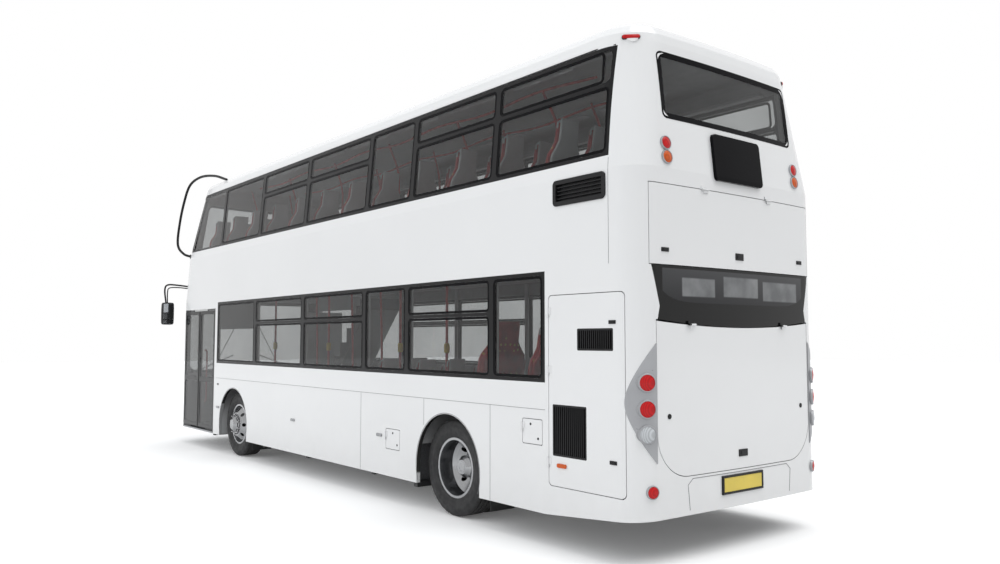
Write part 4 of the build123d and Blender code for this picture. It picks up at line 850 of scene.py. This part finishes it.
# Saloon trim: window pillars, cove panels, lamps in the ceilings, and a blanked pane
trim = Piece()
for side in (1, -1):
    for station in (1.866, 3.349, 4.268, 5.893, 7.470):
        x = (at(station) - 0.035, at(station) + 0.035)
        trim.box(x, side_limits(side, 1.205, 1.228), (SILL - 0.1, LANDING), 0.01)
    trim.box((at(0.45), at(9.9)), side_limits(side, 1.02, 1.1), (4.19, 4.225), 0.015)
    trim.box((at(3.35), at(8.95)), side_limits(side, 1.05, 1.22), (2.52, 2.575), 0.02)
trim.done("saloon_trim", "grey", "body", "interior_grey")
strips = Piece()
for side in (1, -1):
    for first, pitch, count, ceiling in ((1.4, 1.15, 7, CEILING), (3.5, 1.1, 5, LANDING)):
        for k in range(count):
            x = at(first) + pitch * k
            strips.box((x, x + 0.9), side_limits(side, 0.62, 0.74), (ceiling - 0.02, ceiling - 0.001), 0.008)
strips.done("ceiling_lamps", "clear_lens", "body", "clear_lens")
screen = Piece()
screen.box((at(7.502), at(8.940)), (1.246, 1.256), (1.925, 2.33), 0.004)
screen.done("blanked_pane", "gloss_black", "body", "black_band")

# Joints between panels, gutters and arch edges
SKIRT_JOINT = 1.157
JOINT_FROM = {1: at(1.108), -1: at(1.86)}
JOINT_TO = at(8.968)
JOINT_R = 0.0022
GUTTER_Z = 4.206
joints, gutters = Piece(), Piece()
for side in (1, -1):
    seat = side_seat(side)
    beads(joints, [(JOINT_FROM[side], SKIRT_JOINT), (JOINT_TO, SKIRT_JOINT)], seat, JOINT_R)
    for station, foot in ((4.317, SKIRT_FOOT), (3.000, 0.88), (1.881, SKIRT_FOOT)):
        beads(joints, [(at(station), foot), (at(station), SKIRT_JOINT)], seat, JOINT_R)
    for axle in (REAR_AXLE, FRONT_AXLE):
        arc = []
        for k in range(41):
            angle = radians(-24 + 228 * k / 40)
            x, z = axle + ARCH_EDGE * cos(angle), TYRE_R + ARCH_EDGE * sin(angle)
            if z > ARCH_FOOT:
                arc.append((x, side * (HALF + 0.0005), z))
        joints.tube(arc, 0.003, 6)
    beads(gutters, [(at(0.35), GUTTER_Z), (at(10.02), GUTTER_Z)], seat, 0.006, 0.2)
beads(joints, [(at(0.335), 2.376), (at(0.335), 3.240)], on_side, 0.002)
joints.done("panel_joints", "seam", angle=60)
gutters.done("roof_gutters", "black", angle=60)

# Latches and buttons of the tail and the kerb side
fixed, hatch, middle, door = Piece(), Piece(), Piece(), Piece()
flaps = {"rear": Piece(), "front": Piece()}


def latch(piece, place, width, height, proud=0.008):
    """Rounded black escutcheon with a raised grip."""
    piece.box((-width / 2, width / 2), (-height / 2, height / 2), (-0.002, proud), 0.004, place)
    grip = (-0.32 * width, 0.32 * width), (-0.22 * height, 0.22 * height)
    piece.box(*grip, (proud, proud + 0.004), 0.002, place)


for y in (0.954, -0.954):
    latch(middle, stand(*on_tail(y, 2.484)), 0.085, 0.034)
latch(middle, stand(*on_tail(0, 2.478)), 0.11, 0.06)
latch(hatch, stand(*on_tail(0, 0.802)), 0.12, 0.06)
for y in (0.927, -0.927):
    place = stand(*on_tail(y, 1.156))
    hatch.turned([(0.021, -0.002), (0.021, 0.004), (0.015, 0.006), (0, 0.0065)], place, 24)
for z in (1.904, 0.793):
    latch(door, stand(*on_side(at(0.30), z)), 0.075, 0.03)
for name, station, z in (
    ("rear", 1.30, 1.022), ("rear", 1.20, 0.90), ("front", 3.61, 0.742), ("front", 3.52, 0.62),
):
    place = stand(*on_side(at(station), z))
    flaps[name].turned([(0.011, -0.001), (0.011, 0.0025), (0.007, 0.004), (0, 0.004)], place, 16)
latch(fixed, stand(*on_side(at(8.885), 1.061)), 0.05, 0.022)
fixed.done("side_catch", "black")
middle.done("mid_hatch_latches", "black", "mid_hatch")
hatch.done("engine_hatch_latches", "black", "engine_hatch")
door.done("engine_door_latches", "black", "engine_door")
for name, piece in flaps.items():
    piece.done(f"flap_catches_{name}", "black", f"service_flap_{name}")

# Lamps: a domed lens in a bezel over each round lamp, and pill shaped markers up high
LAMP_PROUD = 0.012
LENS_RINGS = 14
MARKER_PROUD = 0.006
MARKER_END = 0.056
red, amber, clear, bezels, gaskets = Piece(), Piece(), Piece(), Piece(), Piece()


def lamp(piece, spot, radius):
    """Domed lens with fine steps, and the bezel round it."""
    point, normal = spot
    place = stand(point + normal * LAMP_PROUD, normal)
    dome = []
    for k in range(LENS_RINGS + 1):
        share = 1 - k / LENS_RINGS
        step = 0.0008 if k % 2 else 0.0
        dome.append((radius * 0.96 * share, 0.002 + 0.011 * (1 - share ** 2) + step))
    piece.turned([(radius * 0.96, -0.004), *dome], place, 40)
    ring = ((1.14, -LAMP_PROUD - 0.003), (1.13, 0.001), (1.07, 0.005), (0.98, 0.005), (0.96, 0.0))
    bezels.turned([(radius * share, height) for share, height in ring], place, 40)


def marker(piece, y, z):
    """Slim pill shaped lens on a thin gasket."""
    point, normal = on_tail(y, z)
    place = stand(point + normal * MARKER_PROUD, normal)
    for target, half, low, high in ((piece, 0.017, -0.003, 0.010), (gaskets, 0.021, -0.012, 0.003)):
        target.box((-MARKER_END, MARKER_END), (-half, half), (low, high), 0.004, place)
        for way in (1, -1):
            end = place @ Matrix.Translation((way * MARKER_END, 0, 0))
            target.turned([(half, low), (half, high - 0.004), (half - 0.004, high), (0, high)], end, 24)


for side in (1, -1):
    for piece, y, z, radius in (
        (red, 1.159, 1.428, 0.066), (red, 1.159, 1.223, 0.066), (clear, 1.159, 1.027, 0.066),
        (red, 1.118, 0.582, 0.048), (red, 0.911, 3.358, 0.052), (amber, 0.911, 3.240, 0.052),
    ):
        lamp(piece, on_tail(side * y, z), radius)
    marker(red, side * 1.070, 4.262)
    for y in (0.760, 0.930):
        lamp(clear, on_nose(side * y, 0.720), 0.078)
red.done("lens_domes_red", "red_lens", "body", "red_lens", angle=60)
amber.done("lens_domes_amber", "amber_lens", "body", "amber_lens", angle=60)
clear.done("lens_domes_clear", "clear_lens", "body", "clear_lens", angle=60)
bezels.done("lamp_bezels", "silver", "body", "silver_plastic", angle=50)
gaskets.done("marker_gaskets", "black", angle=50)

# Bumper insert, with painted shade along its recess edge, and the blank plate in its frame
# Dark bead round the insert: its joint, drawn as painted shade of the recess edge
insert = Piece()
beads(insert, [(-0.70, 0.40), (-0.72, 0.60), (-0.66, 0.648), (0.66, 0.648), (0.72, 0.60), (0.70, 0.40)],
      on_tail, 0.003)
insert.done("bumper_insert_shade_line", "seam", angle=60)
plate_at = on_tail(0.015, 0.553)
place = stand(plate_at[0] + Vector((-0.004, 0, 0)), Vector((-1, 0, 0)))
plate = Piece()
plate.box((-0.262, 0.262), (-0.058, 0.058), (0.0, 0.007), 0.004, place)
plate.done("number_plate_blank", "plate", slot=None)
holder = Piece()
for x, y in (((-0.285, 0.285), (0.060, 0.078)), ((-0.285, 0.285), (-0.078, -0.060)),
             ((-0.285, -0.264), (-0.062, 0.062)), ((0.264, 0.285), (-0.062, 0.062))):
    holder.box(x, y, (-0.012, 0.011), 0.004, place)
holder.box((-0.275, 0.275), (-0.07, 0.07), (-0.012, 0.002), 0.003, place)
holder.done("plate_holder", "black")

# Frit round the end windows of the upper deck and round the larger upright side panes
def shell_boxes(mesh):
    """Limits of the separate shells of a mesh."""
    owner = list(range(len(mesh.vertices)))

    def head(index):
        while owner[index] != index:
            owner[index] = owner[owner[index]]
            index = owner[index]
        return index

    for edge in mesh.edges:
        first, second = (head(index) for index in edge.vertices)
        owner[first] = second
    shells_of = {}
    for vertex in mesh.vertices:
        shells_of.setdefault(head(vertex.index), []).append(vertex.co)
    return [[(min(values), max(values)) for values in zip(*group)] for group in shells_of.values()]


def frit_ring(piece, seat, across, z, corner, width):
    """Flat black border on the skin, inside the limits of a window."""
    outline = []
    left, right = across[0] + corner, across[1] - corner
    foot, head = z[0] + corner, z[1] - corner
    for cy, cz, first in ((right, head, 0), (left, head, 90), (left, foot, 180), (right, foot, 270)):
        for k in range(7):
            angle = radians(first + 15 * k)
            outline.append((cy, cz, cos(angle), sin(angle)))
    ring = []
    for here, there in zip(outline, outline[1:] + outline[:1]):
        reach = max(abs(b - a) for a, b in zip(here[:2], there[:2]))
        count = max(1, int(reach / 0.06))
        for k in range(count):
            ring.append([a + (b - a) * (k / count) for a, b in zip(here, there)])
    rows = []
    for cy, cz, c, s in ring:
        for radius in (corner - 0.0012, corner - width):
            point, normal = seat(cy + radius * c, cz + radius * s)
            rows += [point + normal * 0.0022, point + normal * 0.0002]
    total = len(ring)
    faces = []
    for k in range(total):
        a, b = 4 * k, 4 * ((k + 1) % total)
        faces += [[a, b, b + 2, a + 2], [a + 1, a + 3, b + 3, b + 1], [a, a + 1, b + 1, b],
                  [a + 2, b + 2, b + 3, a + 3]]
    piece.put(rows, faces)


frit = Piece()
frit_ring(frit, on_tail, (-0.913, 0.913), (3.573, 4.155), 0.052, 0.050)
frit_ring(frit, on_nose, (-1.030, 1.030), (3.290, 4.110), 0.090, 0.034)
frit.done("screen_frit", "gloss_black", "body", "black_band")
LEAST_PANE = (0.3, 0.2)
RAKED_FROM = at(9.6)
BORDER_GAP = 0.001
borders = Piece()
drawn = set()
for x, y, z in shell_boxes(nodes["window_glass"].data):
    side = 1 if sum(y) > 0 else -1
    mark = (side, round(sum(x), 1), round(sum(z), 1))
    small = x[1] - x[0] < LEAST_PANE[0] or z[1] - z[0] < LEAST_PANE[1]
    if small or x[1] > RAKED_FROM or mark in drawn:
        continue
    drawn.add(mark)
    x, z = ((low + BORDER_GAP, high - BORDER_GAP) for low, high in (x, z))
    frit_ring(borders, side_seat(side), x, z, 0.050, 0.026)
borders.done("pane_borders", "gloss_black", "body", "black_band")

# Entrance: step edge, door seals and grab bars inside the leaves
DOOR_MEETING = at(9.784)
step = Piece()
step.box((at(9.08), at(10.49)), (1.262, 1.2785), (0.272, 0.2945), 0.003)
step.done("entrance_step_edge", "silver", "body", "silver_plastic")
for name, meeting, way in (("rear", DOOR_MEETING - 0.004, -1), ("front", DOOR_MEETING + 0.004, 1)):
    leaf_seal = Piece()
    for k in range(3):
        x = sorted((meeting, meeting + way * (0.018 - 0.004 * k)))
        leaf_seal.box(x, (1.2752 + 0.0012 * k, 1.2766 + 0.0012 * k), (0.34, 2.22), 0.0006)
    leaf_seal.done(f"door_seal_{name}", "rubber", f"door_leaf_{name}")
    bar = Piece()
    x = meeting + way * 0.17
    run = ((1.240, 0.75), (1.205, 0.79), (1.205, 1.2), (1.205, 1.55), (1.240, 1.59))
    bar.tube(curve([(x, y, z) for y, z in run]), 0.013)
    bar.done(f"door_bar_{name}", "rail", f"door_leaf_{name}", "rail_red", angle=60)

# Mud flaps behind the wheels
mud = Piece()
for side in (1, -1):
    for x in (at(7.585), at(1.935)):
        y = side_limits(side, 0.93, 1.225)
        mud.box((x, x + 0.010), y, (0.150, 0.272), 0.003)
        mud.box((x - 0.004, x + 0.014), y, (0.262, 0.285), 0.003)
mud.done("mud_flaps", "rubber")

# Branch guard and mirrors
guard = Piece()
guard.tube(curve([
    (4.846, 1.235, 3.200), (4.945, 1.345, 3.255), (5.110, 1.395, 3.430), (5.065, 1.385, 3.800),
    (4.930, 1.360, 4.170), (4.760, 1.322, 4.440), (4.455, 1.245, 4.545), (4.020, 1.165, 4.510),
    (3.620, 1.108, 4.395),
], 8), 0.021, 12)
guard.turned([(0.020, 0), (0.045, 0.002), (0.045, 0.010), (0.024, 0.016)],
             stand(Vector((4.850, 1.250, 3.200)), Vector((0.309, 0.951, 0))), 24)
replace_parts(guard.done("branch_guard", "black", angle=60), "tree_guard")
MIRROR_Y = 1.415
MIRROR_Z = 2.225
head_outline = (
    (0.050, -0.198), (0.088, -0.192), (0.102, -0.165), (0.105, -0.08), (0.105, 0.08), (0.102, 0.165),
    (0.088, 0.192), (0.050, 0.198),
)
mirror_arms = (
    (0.015, ((5.160, 1.105, 2.690), (5.330, 1.290, 2.725), (5.500, 1.430, 2.735), (5.540, 1.465, 2.640),
             (5.530, 1.440, 2.400))),
    (0.010, ((5.160, 1.105, 2.655), (5.330, 1.285, 2.685), (5.475, 1.405, 2.680), (5.515, 1.425, 2.600),
             (5.515, 1.420, 2.400))),
)
heads = Piece()
for side in (1, -1):
    rows = [(at(11.050), MIRROR_Z + rise) for _, rise in head_outline]
    heads.form(rows, [half for half, _ in head_outline], 0.050, 0.048, side * MIRROR_Y, power=5)
    for radius, run in mirror_arms:
        heads.tube(curve([(x, side * y, z) for x, y, z in run]), radius, 10)
    heads.box((5.135, 5.185), side_limits(side, 1.075, 1.125), (2.635, 2.712), 0.008)
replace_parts(heads.done("mirror_heads", "black", angle=50), "mirrors")

# Mirror faces, wipers, blank plate and joints of the front
faces = Piece()
for side in (1, -1):
    centre = Vector((at(11.002), side * MIRROR_Y, MIRROR_Z))
    place = stand(centre, Vector((-1, 0, 0)))
    faces.box((-0.085, 0.085), (-0.10, 0.175), (-0.002, 0.004), 0.003, place)
    faces.box((-0.085, 0.085), (-0.175, -0.115), (-0.002, 0.004), 0.003, place)
faces.done("mirror_faces", "mirror", slot=None)


def wiper_run(side, y, z, inward, up, proud):
    """Places off the windscreen, stepping inward and up."""
    places = []
    for k, reach in enumerate(proud):
        places.append(on_nose(side * (y - inward * k), z + up * k)[0] + Vector((reach, 0, 0)))
    return places


wipers = Piece()
for side in (1, -1):
    foot = wiper_run(side, 0.95, 1.16, 0, 0, (-0.01, 0.03))
    tip = wiper_run(side, 0.95, 1.20, 0.14, 0.055, (0.028,) * 6)
    blade = wiper_run(side, 0.62, 1.27, 0.08, 0.15, (0.014,) * 6)
    wipers.tube(foot + tip, 0.009, 6)
    wipers.tube(blade, 0.007, 6)
    wipers.tube([tip[3], blade[1]], 0.007, 6)
wipers.done("wipers", "black")
nose = Piece()
nose_at = on_nose(0, 0.50)[0]
place = stand(nose_at + Vector((0.002, 0, 0)), Vector((1, 0, 0)))
nose.box((-0.275, 0.275), (-0.07, 0.07), (-0.03, 0.006), 0.003, place)
nose.done("front_plate_holder", "black")
# The blank plate takes the clear lens look, so it carries the faint painted glow too
front_plate = Piece()
front_plate.box((-0.26, 0.26), (-0.055, 0.055), (0.004, 0.010), 0.003, place)
front_plate.done("front_plate_blank", "clear_lens", slot=None)
NOSE_JOINT_R = 0.0025
nose_joints = Piece()
for z in (0.60, 0.98):
    beads(nose_joints, [(-1.0, z), (1.0, z)], on_nose, NOSE_JOINT_R)
for y in (-0.45, 0.45):
    beads(nose_joints, [(y, 0.605), (y, 0.975)], on_nose, NOSE_JOINT_R)
nose_joints.done("nose_joints", "seam", angle=60)

# Floor, world and sun
FLOOR_REACH = 60.0
FLOOR_LIFT = 0.09
SKY_FROM = (0.55, 0.8, 0.25)
SKY_STRENGTH = (0.14, 1.30)
SUN_ENERGY = 1.45
SUN_ANGLE = radians(48)
SUN_TOWARD = Vector((0.42, 0.24, -1.0))
ground = [(x * FLOOR_REACH, y * FLOOR_REACH, 0) for x, y in ((-1, -1), (1, -1), (1, 1), (-1, 1))]
floor_mesh = bpy.data.meshes.new("floor")
floor_mesh.from_pydata(ground, [], [(0, 1, 2, 3)])
floor = bpy.data.objects.new("floor", floor_mesh)
floor.location.z = -0.001
bpy.context.scene.collection.objects.link(floor)
s = Shader("white_floor")
seen = s.seen()
color = s.mix(seen, s.mix(s.noise(2, 3), (0.62,) * 3, (0.65,) * 3), (1.0,) * 3)
lit = s.node("ShaderNodeBsdfDiffuse", {"Color": color}).outputs[0]
strength = s.math("MULTIPLY", seen, FLOOR_LIFT)
lift = s.node("ShaderNodeEmission", {"Color": (1, 1, 1), "Strength": strength}).outputs[0]
floor_mesh.materials.append(s.finish(s.node("ShaderNodeAddShader", {0: lit, 1: lift}).outputs[0]))

s = Shader("studio", True)
strength = s.span(s.vector("DOT_PRODUCT", s.coords["Generated"], SKY_FROM, 1), -1.0, 1.0, *SKY_STRENGTH)
sky = s.node("ShaderNodeBackground", {"Color": (0.97, 0.985, 1), "Strength": strength}).outputs[0]
white = s.node("ShaderNodeBackground", {"Color": (1, 1, 1), "Strength": 1.0}).outputs[0]
world = s.finish(s.node("ShaderNodeMixShader", {0: s.seen(), 1: sky, 2: white}).outputs[0])
bpy.context.scene.world = world

sun_data = bpy.data.lights.new("key", "SUN")
sun_data.energy = SUN_ENERGY
sun_data.angle = SUN_ANGLE
sun = bpy.data.objects.new("key", sun_data)
bpy.context.scene.collection.objects.link(sun)
sun.rotation_mode = "QUATERNION"
sun.rotation_quaternion = SUN_TOWARD.to_track_quat("-Z", "Y")
